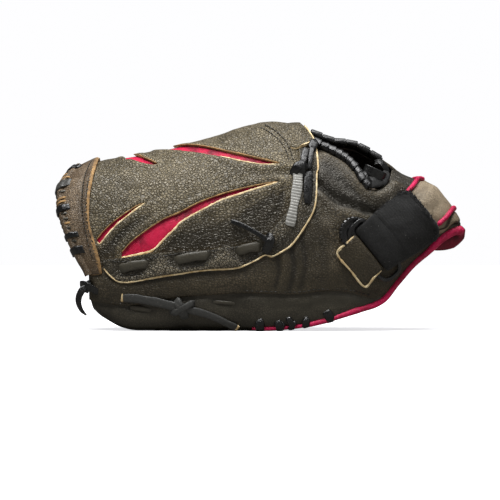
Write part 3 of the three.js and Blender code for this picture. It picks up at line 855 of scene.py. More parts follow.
def web_layers():
    """The pink layer behind the slots, and the palm leather inside it."""
    low = chart(THUMB, [(-120, 55), (-60, 47), (0, 66), (26, 90)])
    high = chart(FINGERS, [(14, 116), (-60, 112), (-118, 106)])
    inlay_edges = between(low, high, (30, 0), (-126, 0))
    folds = ridges(
        THUMB,
        ([(-97, 60), (-84, 58), (-70, 66)], 1.6, -0.5),
        ([(-90, 57), (-76, 63), (-66, 72), (-52, 79)], 2.2, 0.5),
    )
    layer = panel("web_inlay_layer", inlay_edges, -1.5, 1.2, [pink, pink], relief=folds, step=2.6,
                  lumps=0.12, seed=9)
    bridge(layer, "inlay", "web_thumb_inlay", "web_fingers_inlay")

    low = chart(THUMB, [(-122, 50), (-60, 45), (0, 62), (28, 88)])
    high = chart(FINGERS, [(16, 114), (-60, 110), (-122, 104)])
    edges = between(low, high, (32, 0), (-129, 0))
    inner = panel("web_inner_leather", edges, -2.9, 1.4, [palm_grain, cream_edge, palm_grain], step=2.8,
                  lumps=0.2, seed=10)
    bridge(inner, "palm_leather")


web_leather()
web_slot_edges()
web_layers()


# --- Cap and flap of the web ---
CAP_EDGE = [(-123, 39), (-127.5, 47.5), (-132, 55.5), (-136, 65), (-140.5, 76.5), (-143.2, 87.5),
            (-143.5, 98), (-140.5, 105.5), (-136.5, 109.8)]
CAP_RAW = [(-111.5, 40), (-112.5, 47.5), (-115, 56.5), (-118, 66.5), (-120, 74), (-120.7, 84),
           (-120, 98), (-117.5, 112)]
CAP_EDGE_FAR = [(-137, 107), (-139, 99), (-137, 91)]
CAP_RAW_FAR = [(-117, 110), (-119, 101), (-117, 93)]


def mark_lip(obj, line, width):
    """Gives the cut-edge material to the faces within a width of a map line, on the outer side."""
    line = smooth(line, 2.0)
    places = skin(line, OVERLAY) * MM
    for face in obj.data.polygons:
        if face.material_index == 0:
            gap = np.min(np.linalg.norm(places - np.array(face.center), axis=1))
            if gap < width * MM:
                face.material_index = 1


def web_cap():
    """The brown binding across the web's top edge, with its rolled rim and stitches."""
    near_edge = chart(THUMB, CAP_EDGE)
    near_raw = chart(THUMB, CAP_RAW)
    far_edge = chart(FINGERS, CAP_EDGE_FAR)
    far_raw = chart(FINGERS, CAP_RAW_FAR)
    outer = near_edge + [(-132.5, 0)] + far_edge
    raw = near_raw + [(-115.5, 0)] + far_raw
    edges = between(outer, list(reversed(raw)))
    relief = ridges(
        THUMB,
        ([(-119, 49.7), (-122, 60), (-125.4, 76), (-126.6, 91), (-125, 108)], 1.0, -0.7),
        ([(-126, 55), (-132, 70), (-135, 88), (-133, 102)], 5.5, 1.3),
    )
    relief += ridges(THUMB, *[([(-144, z), (-135, z - 1)], 1.6, -0.6) for z in (60, 69, 76, 90, 104)])
    cap = panel("web_cap_leather", edges, OVERLAY, 2.2, [brown, tan_edge, flesh], relief=relief,
                step=1.6, lumps=0.35, edge_drop=0.9, lip=1.5, seed=12)
    mark_lip(cap, raw, 2.3)
    bridge(cap, "brown_leather", "web_cap_thumb", "web_cap_fingers")

    border_line = smooth(chart(THUMB, [(x + 2.2, z, 1.4) for x, z in CAP_EDGE]) + [(-130.5, 0, 1.4)], 1.2)
    bumps = 1 + 0.1 * ripple(border_line[:, :2], 7, 14)
    centres = skin(border_line[:, :2], border_line[:, 2])
    rolled = [tube_parts(centres, 2.9 * bumps)]
    tied("web_cap_rolled_edge", rolled, brown, "thumb_half", "brown_leather")

    lines = [
        chart(THUMB, [(-118, 49.7), (-121, 60), (-124.6, 76), (-125.8, 91), (-124.4, 106), (-119.7, 118.7)]),
        chart(THUMB, [(-117.5, 60), (-121, 70), (-122.8, 87.6), (-121.5, 106.5)]),
    ]
    sew("web_cap_stitches", lines, OVERLAY + 0.2, "thumb_half")


def over_edge(place, inward, line, size, thick, sharp):
    """A lace over an edge at a map place, through (distance onto the sheet, lift) points."""
    flat = np.asarray(place, float) + line[:, :1] * inward
    centres = skin(flat, line[:, 1])
    tangent = np.array([-inward[1], inward[0]])
    wide = skin(flat + tangent, line[:, 1]) - skin(flat - tangent, line[:, 1])
    return ribbon_parts(centres, wide, size, thick, 12, sharp)


def far_whip(place):
    """A lace that wraps over the far side of the cap's edge."""
    reach, under, rise, drop = 8, 5.0, 1.4, 4.6
    profile = [
        (reach, -1.4), (reach * 0.8, 0.35 * rise), (reach * 0.4, 0.7 * rise), (0.8, 0.6 * rise),
        (-1.1, -0.2),
        (-1.8, -0.45 * drop), (-1.1, -0.85 * drop), (0.8, -drop), (under, -drop),
    ]
    line = smooth([(along, OVERLAY + 1.2 + up) for along, up in profile], 1.1)
    return over_edge(place, np.array([1.0, 0.0]), line, 4.4 * tapered(len(line), 0.85), 1.9, 0.55)


def edge_whip(place, inward, width, reach=7.5, round_edge=3.5, thick=1.6):
    """A lace wrapped over the cap's rolled edge, from the cap's face round to the inside."""
    inward = np.asarray(inward, float) / np.linalg.norm(inward)
    angles = np.radians([62, 90, 120, 150, 180, 210, 240])
    profile = [(reach + 1.2, OVERLAY - 1.6), (reach, OVERLAY + 0.5), (0.55 * reach, OVERLAY + 1.5)]
    profile += [(2.2 + round_edge * np.cos(a), 1.4 + round_edge * np.sin(a)) for a in angles]
    line = smooth(profile, 0.9)
    return over_edge(place, inward, line, width * tapered(len(line), 0.8), thick, 0.5)


def cap_whips():
    """Laces wrapped over the left edge of the cap, dark and worn grey, with tan notches between them."""
    line = smooth(chart(THUMB, CAP_EDGE), 0.5)
    places = skin(line)

    def wrapped(z, width, **shape):
        i = int(np.argmin(np.abs(places[:, 2] - z)))
        way = line[min(i + 3, len(line) - 1)] - line[max(i - 3, 0)]
        inward = np.array([way[1], -way[0]])
        return edge_whip(line[i], inward if inward[0] > 0 else -inward, width, **shape)

    dark = [wrapped(z, width) for z, width in ((110.3, 4.0), (82.2, 4.8), (64.3, 3.8), (54.5, 5.6))]
    tied("web_cap_whips", dark, lace_black, "thumb_half", "lace")
    worn = [wrapped(97.6, 6.4, reach=8.5)]
    tied("web_cap_worn_whip", worn, lace_worn, "thumb_half", "lace")
    notch = [wrapped(z, 1.5, reach=6, thick=0.9, round_edge=3.1) for z in (104.8, 102.2, 88.6, 86.4, 72.2)]
    tied("web_cap_notches", notch, tan_edge, "thumb_half", "brown_leather")
    # Thin dark strips in the gaps between the whips: painted shade.
    gap = [wrapped(z, 1.6, reach=5.5, thick=0.8, round_edge=3.1) for z in (107, 93, 78.8, 75, 69, 60.5)]
    tied("web_cap_gap_shadows", gap, smooth_dark, "thumb_half", "brown_leather")
    far = [far_whip(place) for place in ((-139, 30), (-139.5, 44))]
    tied("web_cap_far_whips", far, lace_black, "finger_half", "lace")


FLAP_LOW = [
    (-110, 43), (-106, 38.5), (-101, 34.8), (-94.5, 33.7), (-79.5, 36), (-57.5, 39.5), (-39.5, 42),
    (-21.5, 43), (-13, 45), (-4, 49), (2, 52.3), (7, 51.5), (14, 55), (21, 60), (29, 71), (34.7, 80.5),
    (37, 88), (37.7, 98), (38, 108), (39, 113), (38, 126),
]
FLAP_HIGH = [
    (-110.6, 49.7), (-85.5, 52), (-57.5, 54.3), (-43.5, 55.5), (-20, 58.5), (-4, 62), (8, 70.5), (18, 83),
    (24, 96), (26.5, 108), (26, 126),
]
OVALS = (((-98.5, 42.6), (-79.3, 46)), ((-60, 48.2), (-37, 52)), ((-17.6, 54.6), (-1.4, 57.8)))


def web_flap():
    """The web's lower binding on the thumb side, with its raw edge and stitches."""
    low = chart(THUMB, FLAP_LOW)
    high = list(reversed(chart(THUMB, FLAP_HIGH)))
    edges = between(low, high)
    relief = ridges(
        THUMB,
        ([(-104, 44), (-60, 49.5), (-20, 54), (2, 60), (18, 74), (29, 92)], 6, 1.0),
        ([(-99, 38.5), (-79, 39.5), (-40, 45), (-14, 48), (4, 55.5), (16, 61)], 1.0, -0.6),
    )
    # Sunk grooves round the lace ovals, darkened by the shade mark: painted shade.
    relief += ridges(THUMB, *[(oval, 5.0, -1.7) for oval in OVALS])
    relief += ridges(
        THUMB,
        ([(-100, 36.2), (-79, 38), (-40, 43.6), (-16, 45.6)], 2.6, 1.5),
        ([(-79, 40.5), (-60, 43.5)], 3.0, 0.8),
        ([(-36, 47), (-19, 49)], 3.0, 0.8),
        # A sunk groove that the shade mark paints as a dark slit beside the flat lace: painted shade.
        ([(31.8, 90), (32, 99), (32, 109)], 3.2, -2.0),
    )
    flap = panel("web_flap_leather", edges, OVERLAY, 2.2, [flap_grain, cream_edge, flesh], relief=relief,
                 step=1.6, lumps=0.3, edge_drop=0.3, seed=21)
    settle(flap, "thumb_half", "leather", "web_flap_thumb")
    raw = [edge_strip(low, 1.3, lift=OVERLAY - 0.5, thick=1.6, seed=22)]
    tied("web_flap_raw_edge", raw, cream_edge, "thumb_half", "leather")

    lines = [
        chart(THUMB, [(-108, 48.4), (-57.4, 53.2), (-43.4, 54), (-20, 57), (-3.9, 60)]),
        chart(THUMB, [(-99, 38.5), (-79, 39.8), (-40, 45.2), (-14, 48.2), (2, 55), (14, 60)]),
    ]
    sew("web_flap_stitches", lines, OVERLAY + 0.35, "thumb_half", length=2.4)


def flap_ovals():
    """The brown laces that lie in the flap's hollows."""
    ovals = []
    for (x0, z0), (x1, z1) in OVALS:
        middle = ((x0 + x1) / 2, (z0 + z1) / 2 + 0.4)
        lift = OVERLAY + 0.9
        path = [(x0 - 0.5, z0, lift - 2.6), (x0 + 2.6, z0 + 0.6, lift - 0.6), (*middle, lift + 0.3),
                (x1 - 2.6, z1 - 0.3, lift - 0.6), (x1 + 0.5, z1, lift - 2.6)]
        ovals.append(cord(THUMB, path, 6.6, 2.2, wobble=0.3, seed=int(x0) % 17, sharp=0.8))
    tied("web_thumb_lace_ovals", ovals, lace_brown, "thumb_half", "lace", "web_thumb_lace")


def far_flap():
    """The web's lower binding on the finger side, with its stitches and laces."""
    far_low = chart(FINGERS, [(-112, 90), (-60, 96), (0, 102), (28, 104)])
    far_high = list(reversed(chart(FINGERS, [(-112, 104), (-60, 112), (0, 122), (28, 124)])))
    far_edges = between(far_low, far_high)
    relief = ridges(FINGERS, ([(-104, 98), (-60, 104.5), (0, 112), (20, 113)], 5, 1.0))
    far = panel("web_flap_far_leather", far_edges, OVERLAY, 2.2, [pebbled, cream_edge, flesh],
                relief=relief, lumps=0.3, seed=23)
    settle(far, "finger_half", "leather", "web_flap_fingers")
    lines = [
        chart(FINGERS, [(-110, 92), (-60, 98), (0, 104), (26, 106)]),
        chart(FINGERS, [(-110, 102), (-60, 110), (0, 120), (26, 122)]),
    ]
    sew("web_flap_far_stitches", lines, OVERLAY + 0.3, "finger_half")
    loops = []
    for x in (-96, -66, -36, -6):
        z = 104.5 + (x + 60) * 0.12 - 2
        lift = OVERLAY + 0.9
        path = [(x - 8.5, z - 0.8, lift - 2), (x - 6, z - 0.4, lift + 1.3), (x, z, lift + 2.2),
                (x + 6, z + 0.5, lift + 1.3), (x + 8.5, z + 1, lift - 2)]
        loops.append(cord(FINGERS, path, 6.5, 2.2, abs(x) % 13))
    tied("web_finger_lace_ovals", loops, lace_black, "finger_half", "lace", "web_finger_lace")


web_cap()
cap_whips()
web_flap()
flap_ovals()
far_flap()


# --- Thumb and heel ---
THUMB_SEAM = [(-121, 22), (-107, 19), (-63, 23), (-14.5, 26.8), (22.5, 26), (40.5, 28), (55.5, 28),
              (77.7, 23.1)]
HEEL_RIM = [(40.5, 129.5), (47.5, 126.4), (55, 122.4), (61, 117.8), (66, 111.6), (69.5, 105.5),
            (73.5, 100.5),
            (80, 98.8), (86, 102), (90, 108), (92, 114)]


LINING_STOPS = (44, 62, 84, 95, 106, 117, 128, 139)


def above_mouth(stops, rise):
    """(x, z) points a little above the mouth edge."""
    return [(x, float(mouth(x)) + rise) for x in stops]


def thumb_and_heel():
    """The thumb side's outer leather, from the web's flap to the wrist and up to the back opening."""
    low = chart(THUMB, THUMB_SEAM + [(88, 26)] + above_mouth((95, 106, 117, 128, 138), 3.2))
    rim = chart(THUMB, HEEL_RIM)
    over = [rim[-1], (101, -6), (112, 0), (126, 0), (140, 0)]
    top = chart(THUMB,
                [(36, 126), (34, 112), (31, 92), (24, 72), (-10, 58), (-60, 52), (-107, 46), (-121, 42)])
    edges = [low, [low[-1], (141, -20), (140, 0)], list(reversed(over)), list(reversed(rim)),
             [rim[0], top[0]], top, [top[-1], low[0]]]
    relief = ridges(
        THUMB,
        ([(-112, 31), (-80, 29), (-40, 33), (0, 37)], 6, 1.1),
        ([(9, 31), (12, 42), (10, 54)], 2.4, -1.0),
        ([(19, 29), (22, 44), (20, 60)], 2.6, -1.1),
        ([(27, 30), (30, 48), (27, 66)], 2.6, -0.9),
        ([(14.5, 34), (16.5, 44), (15, 56)], 2.2, 0.8),
        ([(44, 121), (54, 117), (60, 112), (66, 104), (73, 96), (84, 94), (94, 102)], 4.6, 2.0),
        ([(39, 103), (47, 95), (54.5, 90), (68, 85.5), (80.5, 82)], 2.6, -3.0),
        ([(42, 93), (52, 83), (62, 79)], 5, 1.4),
        ([(44, 113), (54, 104), (66, 93)], 2.0, -0.7),
        ([(36, 84), (40, 66), (44, 50), (42, 36)], 2.6, -0.7),
        ([(48, 72), (52, 58), (49, 44)], 7, 1.2),
        ([(56, 40), (66, 27), (80, 28)], 2.2, -0.7),
        ([(104, 92), (116, 84), (126, 76)], 4, 0.9),
        ([(118, 66), (128, 72), (138, 75)], 1.5, -1.2),
        ([(-104, 37), (-80, 35.5), (-40, 40), (-12, 43)], 3, -1.2),
    )
    lower, upper = (-a for _, a in chart(THUMB, [(60, 72), (60, 92)]))

    # Painted shade: darker over the upper heel and towards the web's end of the thumb.
    def wear_and_painted_shading(flat):
        heel = np.clip((flat[:, 0] - 25) / 20, 0, 1) * np.clip((lower + flat[:, 1]) / (lower - upper), 0, 1)
        return -0.6 * heel - 0.3 * np.clip((-30 - flat[:, 0]) / 30, 0, 1)

    sheet = panel("thumb_and_heel_leather", edges, 0, LEATHER, [heel_grain, heel_grain, flesh],
                  relief=relief, puff=(1.5, 6), lumps=0.55, dim=wear_and_painted_shading, seed=37)
    settle(sheet, "thumb_half", "leather", "thumb_back", "thumb_heel_leather")


def thumb_bottom():
    """The smooth leather under the long seam, tucked under the mouth edge."""
    upper = chart(THUMB, [(x, z + 3) for x, z in THUMB_SEAM])
    under = [(float(x), -SPREAD - 14.0) for x in (66, 22, -20, -60, -92, -114)]
    edges = [upper, [upper[-1], (84, -SPREAD), under[0]], under, [under[-1], upper[0]]]
    seam = smooth(chart(THUMB, THUMB_SEAM), 3.0)

    def tucked(flat):
        return -0.4 - 2.2 * np.exp(-((distance(flat, seam) / 2.2) ** 2))

    relief = ridges(
        THUMB,
        ([(-100, 11), (-60, 12), (-10, 15), (30, 16), (60, 16)], 6, 1.2),
        ([(-92, 16.6), (-84, 15.4), (-77, 14.6)], 2.6, -1.6),
        ([(-34, 20.6), (-26, 20.2), (-18.5, 19.4)], 2.2, -1.6),
        ([(8, 17), (20, 18.6), (34, 16)], 1.3, -0.9),
        ([(34, 19), (46, 21.4), (56, 20)], 1.3, -0.9),
    )
    bottom = panel("thumb_bottom_leather", edges, tucked, LEATHER, [smooth_dark, smooth_dark, flesh],
                   relief=relief, lumps=0.5, seed=33)
    settle(bottom, "thumb_half", "smooth_leather", "thumb_edge_panel")


def thumb_seam():
    """The short laces under the long seam, and the seam's stitches."""
    under_laces = [
        cord(THUMB,
             [(-92, 16.6, -2.2), (-88, 16.2, -0.9), (-84, 15.6, -0.4), (-80, 15, -0.9), (-77, 14.6, -2.2)],
             3.6, 1.6, 25, sharp=0.8),
        cord(THUMB,
             [(-34, 20.6, -2.2), (-30, 20.5, -1), (-26, 20.2, -0.6), (-22, 19.8, -1), (-18.5, 19.4, -2.2)],
             2.8, 1.4, 26, sharp=0.8),
    ]
    tied("thumb_bottom_lace", under_laces, lace_brown, "thumb_half", "lace")
    line = chart(THUMB,
                 [(-107, 20.4), (-63, 24.4), (-14.5, 28.2), (22.5, 27.4), (40, 29.4), (56, 29.4), (76, 25)])
    sew("thumb_seam_stitches", [line], 0.1, "thumb_half")


def near_lining():
    """The thumb side's lining of the hand."""
    low = chart(THUMB, above_mouth(LINING_STOPS, 2))
    high = [(139, -0.5), (104, -0.5), *reversed(chart(THUMB, [(46, 104), (60, 104), (80, 98), (92, 108)]))]
    edges = between(low, high)
    lining = panel("hand_lining_near", edges, -4.2, 1.2, [lining_soft, lining_soft, lining_soft],
                   puff=(-1, 8), step=3, lumps=0.6, seed=39)
    settle(lining, "thumb_half", "lining", "hand_lining_thumb")


thumb_and_heel()
thumb_bottom()
thumb_seam()
near_lining()


# --- Finger side ---
def stall(name, node, low, high, tip, base, seed):
    """A finger stall: a rounded leather tube, closed at its tip and open into the hand."""
    around, wall = 44, LEATHER
    stops = [tip + d for d in (0, 0.5, 1.5, 3, 5, 8, 12, 16)]
    stops += list(np.arange(tip + 20, base + 1, 2.6))
    angles = (np.arange(around) + 0.5) / around * 2 * np.pi
    middle = (low + high) / 2

    def ring(x, shrink):
        reach = np.clip((x - tip) / 22, 0.015, 1)
        swell = np.sqrt(1 - (1 - reach) ** 2)
        flat = np.array(chart(FINGERS, [(x, middle)]))
        face, back = skin(flat, 0.8)[0], skin(flat, 2.0 - STALL_DEPTH)[0]
        out = (face - back) / np.linalg.norm(face - back)
        up = np.cross([1.0, 0.0, 0.0], out)
        up /= np.linalg.norm(up)
        tall = max((high - low + 1.6) / 2 * swell - shrink, 0.3)
        deep = max(np.linalg.norm(face - back) / 2 * swell - shrink, 0.3)
        cos, sin = np.cos(angles), np.sin(angles)
        spot = np.stack([np.full(around, x), angles * 12], 1)
        lump = 0.35 * ripple(spot, 16, seed) + 0.2 * ripple(spot, 6, seed + 7)
        seam = -1.0 * np.exp(-(np.abs(sin) / 0.08) ** 2) * (cos > 0) * (shrink == 0) * swell
        crease = sum(0.8 * np.exp(-(((x - c) / 2.2) ** 2)) for c in (-78, -42, -10)) * (shrink == 0)
        size = 1 + (lump + seam - crease * np.maximum(cos, 0)) / deep * swell
        points = (
            (face + back) / 2
            + np.outer(squared(sin, 0.85) * tall * size, up)
            + np.outer(squared(cos, 0.85) * deep * size, out)
        )
        points[:, 2] = np.maximum(points[:, 2], shrink)
        # Shade mark: the seam groove and the creases across the stall darken as painted shade.
        return points, (seam - crease) / 1.2

    rings, shades = [], []
    for x in stops:
        points, dark = ring(x, 0)
        rings.append(points)
        shades.append(dark)
    for x in reversed(stops[6::3]):
        points, _ = ring(x, wall)
        rings.append(points)
        shades.append(np.zeros(around))
    faces = [(a, d, c, b) for a, b, c, d in sleeve(len(rings), around)]
    faces += [tuple(reversed(face)) for face in ends(len(rings), around)]
    obj = make(name, np.concatenate(rings), faces, [pebbled], shade=np.concatenate(shades))
    return settle(obj, "finger_half", "leather", node)


STALLS = (
    ("index", 83, 107, -130), ("middle", 55.5, 80, -128), ("ring", 28, 52.5, -119), ("little", -2, 25, -104),
)
STALL_GAPS = (81.5, 54, 26.5)


def finger_stalls():
    """The four finger stalls, and the double stitches along each."""
    for i, (finger, low, high, tip) in enumerate(STALLS):
        stall(f"{finger}_finger_stall", f"{finger}_stall", low, high, tip, 8, 60 + i)
    parts = []
    for finger, low, high, tip in STALLS:
        middle = (low + high) / 2
        for gap in (-1.1, 1.1):
            line = chart(FINGERS, [(tip + 14, middle + gap), (-60, middle + gap), (-4, middle + gap)])
            parts += stitches(line, 1.1, pitch=3.6)
    tied("finger_stall_stitches", parts, thread, "finger_half", "leather")


def finger_laces():
    """Loops of lace that join neighbouring stalls near their tips and at their middles."""
    loops = []
    for low in STALL_GAPS:
        for x in (-104, -97):
            path = [(x, low + 9, 0.3), (x, low + 5, 1.9), (x, low, 2.4), (x, low - 5, 1.9),
                    (x, low - 9, 0.3)]
            loops.append(cord(FINGERS, path, 4.2, 1.9, int(low)))
    tied("finger_tip_lace_loops", loops, lace_black, "finger_half", "lace", "finger_tip_lace")
    loops = []
    for low in STALL_GAPS:
        path = [(-58, low + 8, 0.3), (-57, low + 4, 2.0), (-56, low, 2.4), (-55, low - 4, 2.0),
                (-54, low - 8, 0.3)]
        loops.append(cord(FINGERS, path, 4.2, 1.9, int(low) + 1))
    tied("finger_lace_loops", loops, lace_black, "finger_half", "lace", "finger_lace")


def back_of_hand():
    """The finger side's outer leather behind the stalls, and the lining under it."""
    stops = (40, 62, 74, 84, 95, 106, 117, 128, 138)
    low = chart(FINGERS, [(2, 1.5)] + above_mouth(stops, 3.2))
    top = [(x, 0.4) for x in (140, 120, 100, 80, 60, 36)]
    edges = [low, [low[-1], (141, 20), top[0]], top,
             [top[-1], *chart(FINGERS, [(16, 108), (4, 60)]), low[0]]]
    relief = ridges(
        FINGERS,
        ([(14, 104), (12, 60), (14, 20)], 2.2, -1.4),
        ([(34, 118), (60, 108), (88, 90)], 3, -1.0),
        ([(20, 70), (46, 66), (70, 56)], 2.4, -0.9),
        ([(24, 27), (55, 30), (80, 27)], 1.6, -1.2),
        ([(40, 92), (62, 84), (84, 72)], 8, 1.6),
        ([(38, 48), (60, 44)], 9, 1.4),
    )
    back = panel("back_of_hand_leather", edges, 0.2, LEATHER, [heel_grain, heel_grain, flesh],
                 relief=relief, puff=(1.2, 7), lumps=0.55, step=2.2, seed=71)
    settle(back, "finger_half", "leather", "back_of_hand")

    low = chart(FINGERS, above_mouth(LINING_STOPS, 2))
    high = [(139, 7.0), (100, 7.0), (48, 7.0)]
    edges = between(low, high)
    lining = panel("hand_lining_far", edges, -4.2, 1.2, [lining_soft, lining_soft, lining_soft],
                   puff=(-1, 8), step=3, lumps=0.6, seed=73)
    settle(lining, "finger_half", "lining", "hand_lining_fingers")


PALM_LOW = [(-106, 9), (-60, 4), (0, 4), (40, 7), (64, 16), (84, 26), (100, 42), (112, 54)]


def palm_depth(flat):
    """How deep the palm leather lies: at the heel its two halves are pressed together, and its lower
    hem turns out to meet the outer leather."""
    closing = np.clip((flat[:, 0] - 15) / 62, 0, 1)
    closing = closing**2 * (3 - 2 * closing)
    room = half_width(flat[:, 0]) - STALL_DEPTH - 3.6
    depth = -STALL_DEPTH - 1.3 - closing * np.maximum(room, 0) * np.clip(np.abs(flat[:, 1]) / 60, 0, 1)
    low = np.array(chart(FINGERS, PALM_LOW))
    rise = np.clip((np.interp(flat[:, 0], low[:, 0], low[:, 1]) - np.abs(flat[:, 1])) / 8, 0, 1)
    hem = np.clip((flat[:, 0] - 4) / 14, 0, 1) * (1 - rise**0.4)
    return depth + hem * (-3.4 - depth)


def palms():
    """The palm leather of both sides with its felt heel pads, and the fold that joins the two sides."""
    near_high = [(-110, 56), (-60, 60), (-20, 72), (14, 104)]
    far_high = [(-106, 98), (-60, 104), (-20, 108), (14, 112)]
    for side, name, node, high, body in (
        (THUMB, "palm_leather_near", "palm_thumb", near_high, "thumb_half"),
        (FINGERS, "palm_leather_far", "palm_fingers", far_high, "finger_half"),
    ):
        bottom = chart(side, PALM_LOW)
        top = list(reversed(chart(side, high) + [(40, side * 22.0), (80, side * 22.0), (112, side * 22.0)]))
        edges = between(bottom, top)
        sheet = panel(name, edges, palm_depth, 2.2, [palm_grain, cream_edge, palm_grain], lumps=0.8,
                      step=2.8, seed=80)
        settle(sheet, body, "palm_leather", node)
        foot = chart(side, [(31, 13), (50, 17), (65, 22)])
        head = list(reversed(chart(side, [(31, 49), (50, 57), (69, 59)])))
        edges = between(foot, head)
        pad = panel(name.replace("palm_leather", "heel_pad"), edges, -13.5, 6, [felt, felt, felt],
                    puff=(1.5, 8), step=3, lumps=0.3, seed=82)
        settle(pad, body, "felt", node.replace("palm", "heel_pad"))
    near = [(16, -26.0), (60, -26.0), (112, -26.0)]
    far = [(112, 26.0), (60, 26.0), (16, 26.0)]
    fold = panel("palm_leather_fold", between(near, far), palm_depth, 2.0,
                 [palm_grain, palm_grain, palm_grain], lumps=0.7, step=2.8, seed=84)
    bridge(fold, "palm_leather", half=24.0)


finger_stalls()
finger_laces()
back_of_hand()
palms()


# --- Piping and wrist band ---
PIPING_LINE = [
    (-7, 2.2), (8, 2.2), (22, 3.4), (32, 4.6), (41.5, 6.8), (62, 13.2), (72, 14.5), (83.5, 20.5), (90.5, 27),
    (97.5, 36.5), (107, 46.5),
    (114, 53), (120.5, 59.5), (126, 64.8), (132, 68.8), (138, 70.4), (141.5, 69),
]


def piping():
    """The pink cord along the wrist edge of both sides, thicker towards the wrist."""
    for side, name, node, body in (
        (THUMB, "wrist_edge_piping_near", "wrist_piping_thumb", "thumb_half"),
        (FINGERS, "wrist_edge_piping_far", "wrist_piping_fingers", "finger_half"),
    ):
        line = smooth(chart(side, [(x, max(z, float(mouth(x)) + 1.2), 0.2) for x, z in PIPING_LINE]), 1.2)
        centres = skin(line[:, :2], line[:, 2])
        x = centres[:, 0] - shift[0]
        radius = 1.7 + 0.4 * np.clip((x - 30) / 30, 0, 1) + 1.3 * np.clip((x - 112) / 20, 0, 1)
        radius += 0.12 * ripple(line[:, :2], 12, 91)
        radius *= tapered(len(radius), 0.55, 3)
        tube = joined(name, [tube_parts(centres, radius)], [pink_piping])
        settle(tube, body, "piping", node)


def lining_roll():
    """The red lining that rolls out under the end of the piping, coloured as it looks in shade: painted
    shade.
    """
    place = skin(np.array(chart(THUMB, [(128, 62)])), -3.0)[0]
    bends = [(-14, 0, -8), (-8, 0, -6), (0, 0.5, -4), (6, 1, -1), (10.5, 2, 2.6), (13.3, 4, 6.2)]
    centres = smooth([tuple(place + np.array(bend)) for bend in bends], 1.2)
    size = np.interp(np.linspace(0, 1, len(centres)), [0, 0.25, 0.6, 0.85, 1], [3, 9, 13.5, 11.5, 6])
    roll_parts = ribbon_parts(centres, np.array([-0.35, 0.0, 1.0]), size, 3.6, 16, 0.9)
    tied("wrist_edge_lining_roll", [roll_parts], shaded_red, "thumb_half", "piping")


BAND_FRONT = [(99.2, 91.6), (105.4, 97.6), (110.8, 103.2)]
BAND_BACK = [(121, 66.5), (129, 70.5), (138, 76)]
BAND_FRONT_FAR = [(106, 98), (99, 88), (84, 60)]
BAND_BACK_FAR = [(135, 76), (126, 68), (111, 50)]


def wrist_band():
    """The brown band across the wrist, over the crest."""
    front = chart(THUMB, BAND_FRONT) + [(111, 0)] + chart(FINGERS, BAND_FRONT_FAR)
    back = chart(THUMB, BAND_BACK) + [(140, 0)] + chart(FINGERS, BAND_BACK_FAR)
    edges = between(front, list(reversed(back)))
    relief = ridges(
        THUMB,
        ([(109, 84), (117, 90), (124, 96)], 6, 1.2),
        ([(120, 92), (126, 97)], 3, 0.9),
        ([(104, 89), (112, 96)], 1.2, -0.6),
        ([(123.5, 70), (130, 74.6), (138, 80.5)], 1.3, -1.6),
    )
    relief += ridges(FINGERS, ([(96, 58), (111, 80), (122, 92)], 8, 1.2))
    band = panel("wrist_band_leather", edges, OVERLAY + 0.2, 2.2, [band_leather, brown, flesh],
                 relief=relief,
                 puff=(0.8, 4), lumps=0.35, step=1.7, seed=95)
    bridge(band, "brown_leather", "wrist_band_thumb", "wrist_band_fingers")


BAND_PIPINGS = (
    ("band_piping_front", [(101, 93.6), (106.2, 98.8), (111.2, 103.4)], 114.5,
     [(109, 103.5), (99, 88), (84, 60)]),
    ("band_piping_back", [(122.5, 72.3), (129, 78), (134, 82.4)], 137, [(134, 83), (122, 72), (108.5, 53)]),
)


def band_pipings():
    """The pink cords along the band's two edges."""
    for name, near, crest_x, far in BAND_PIPINGS:
        line = chart(THUMB, near) + [(crest_x, 0)] + chart(FINGERS, far)
        line = smooth([(x, a, OVERLAY + 1.4) for x, a in line], 1.0)
        radius = 1.65 * tapered(len(line), 0.5, 3) * (1 + 0.08 * ripple(line[:, :2], 7, 97))
        tube = joined(name, [tube_parts(skin(line[:, :2], line[:, 2]), radius)], [pink_piping])
        bridge(tube, "piping", name + "_thumb", name + "_fingers")


piping()
lining_roll()
wrist_band()
band_pipings()


# --- Rims, heel lacing and loose laces ---
def wrapped_cord(line, lift, core, pitch, width, slant=0.35, cone=0.16, seed=1):
    """A core cord with a flat lace wound round it in overlapping turns."""
    line = smooth(line, 0.5)
    centres = skin(line, lift)
    parts = [tube_parts(centres[::2], np.full(len(centres[::2]), core))]
    angles = np.arange(20) / 20 * 2 * np.pi
    uneven = ripple(line, 9, seed)
    for i in range(2, len(line) - 2, max(int(pitch / 0.5), 1)):
        forward = centres[i + 1] - centres[i - 1]
        forward /= np.linalg.norm(forward)
        out = outward(line[i : i + 1])[0]
        side = np.cross(forward, out)
        reach = (core + 0.55) * (1 + 0.08 * uneven[i])
        turn = (
            centres[i]
            + np.outer(np.cos(angles) * reach, side)
            + np.outer(np.sin(angles) * reach, out)
            + np.outer((np.cos(angles) + 0.12 * uneven[i]) * reach * slant, forward)
        )
        wide = forward + cone * (out * np.sin(angles)[:, None] + side * np.cos(angles)[:, None])
        parts.append(ribbon_parts(turn, wide, width, 0.9, 10, 0.5, loop=True))
    return parts


def rims():
    """The laces wound round both rims of the back opening."""
    near = chart(THUMB, [(37.5, 131.5), *HEEL_RIM[:7]])
    parts = wrapped_cord(near, 0.9, 2.6, 5.6, 5.8, seed=3)
    tied("rim_lace_wraps_near", parts, lace_black, "thumb_half", "lace", "rim_lace_thumb")
    far = [(37.5, 3.0), (48, 3.4), (60, 3.6), (70, 3.4), (79, 2.6), (86, 1.6)]
    parts = wrapped_cord(far, -0.7, 1.9, 8.6, 8.3, slant=0.16, cone=0.05, seed=4)
    tied("rim_lace_wraps_far", parts, lace_black, "finger_half", "lace", "rim_lace_hand")


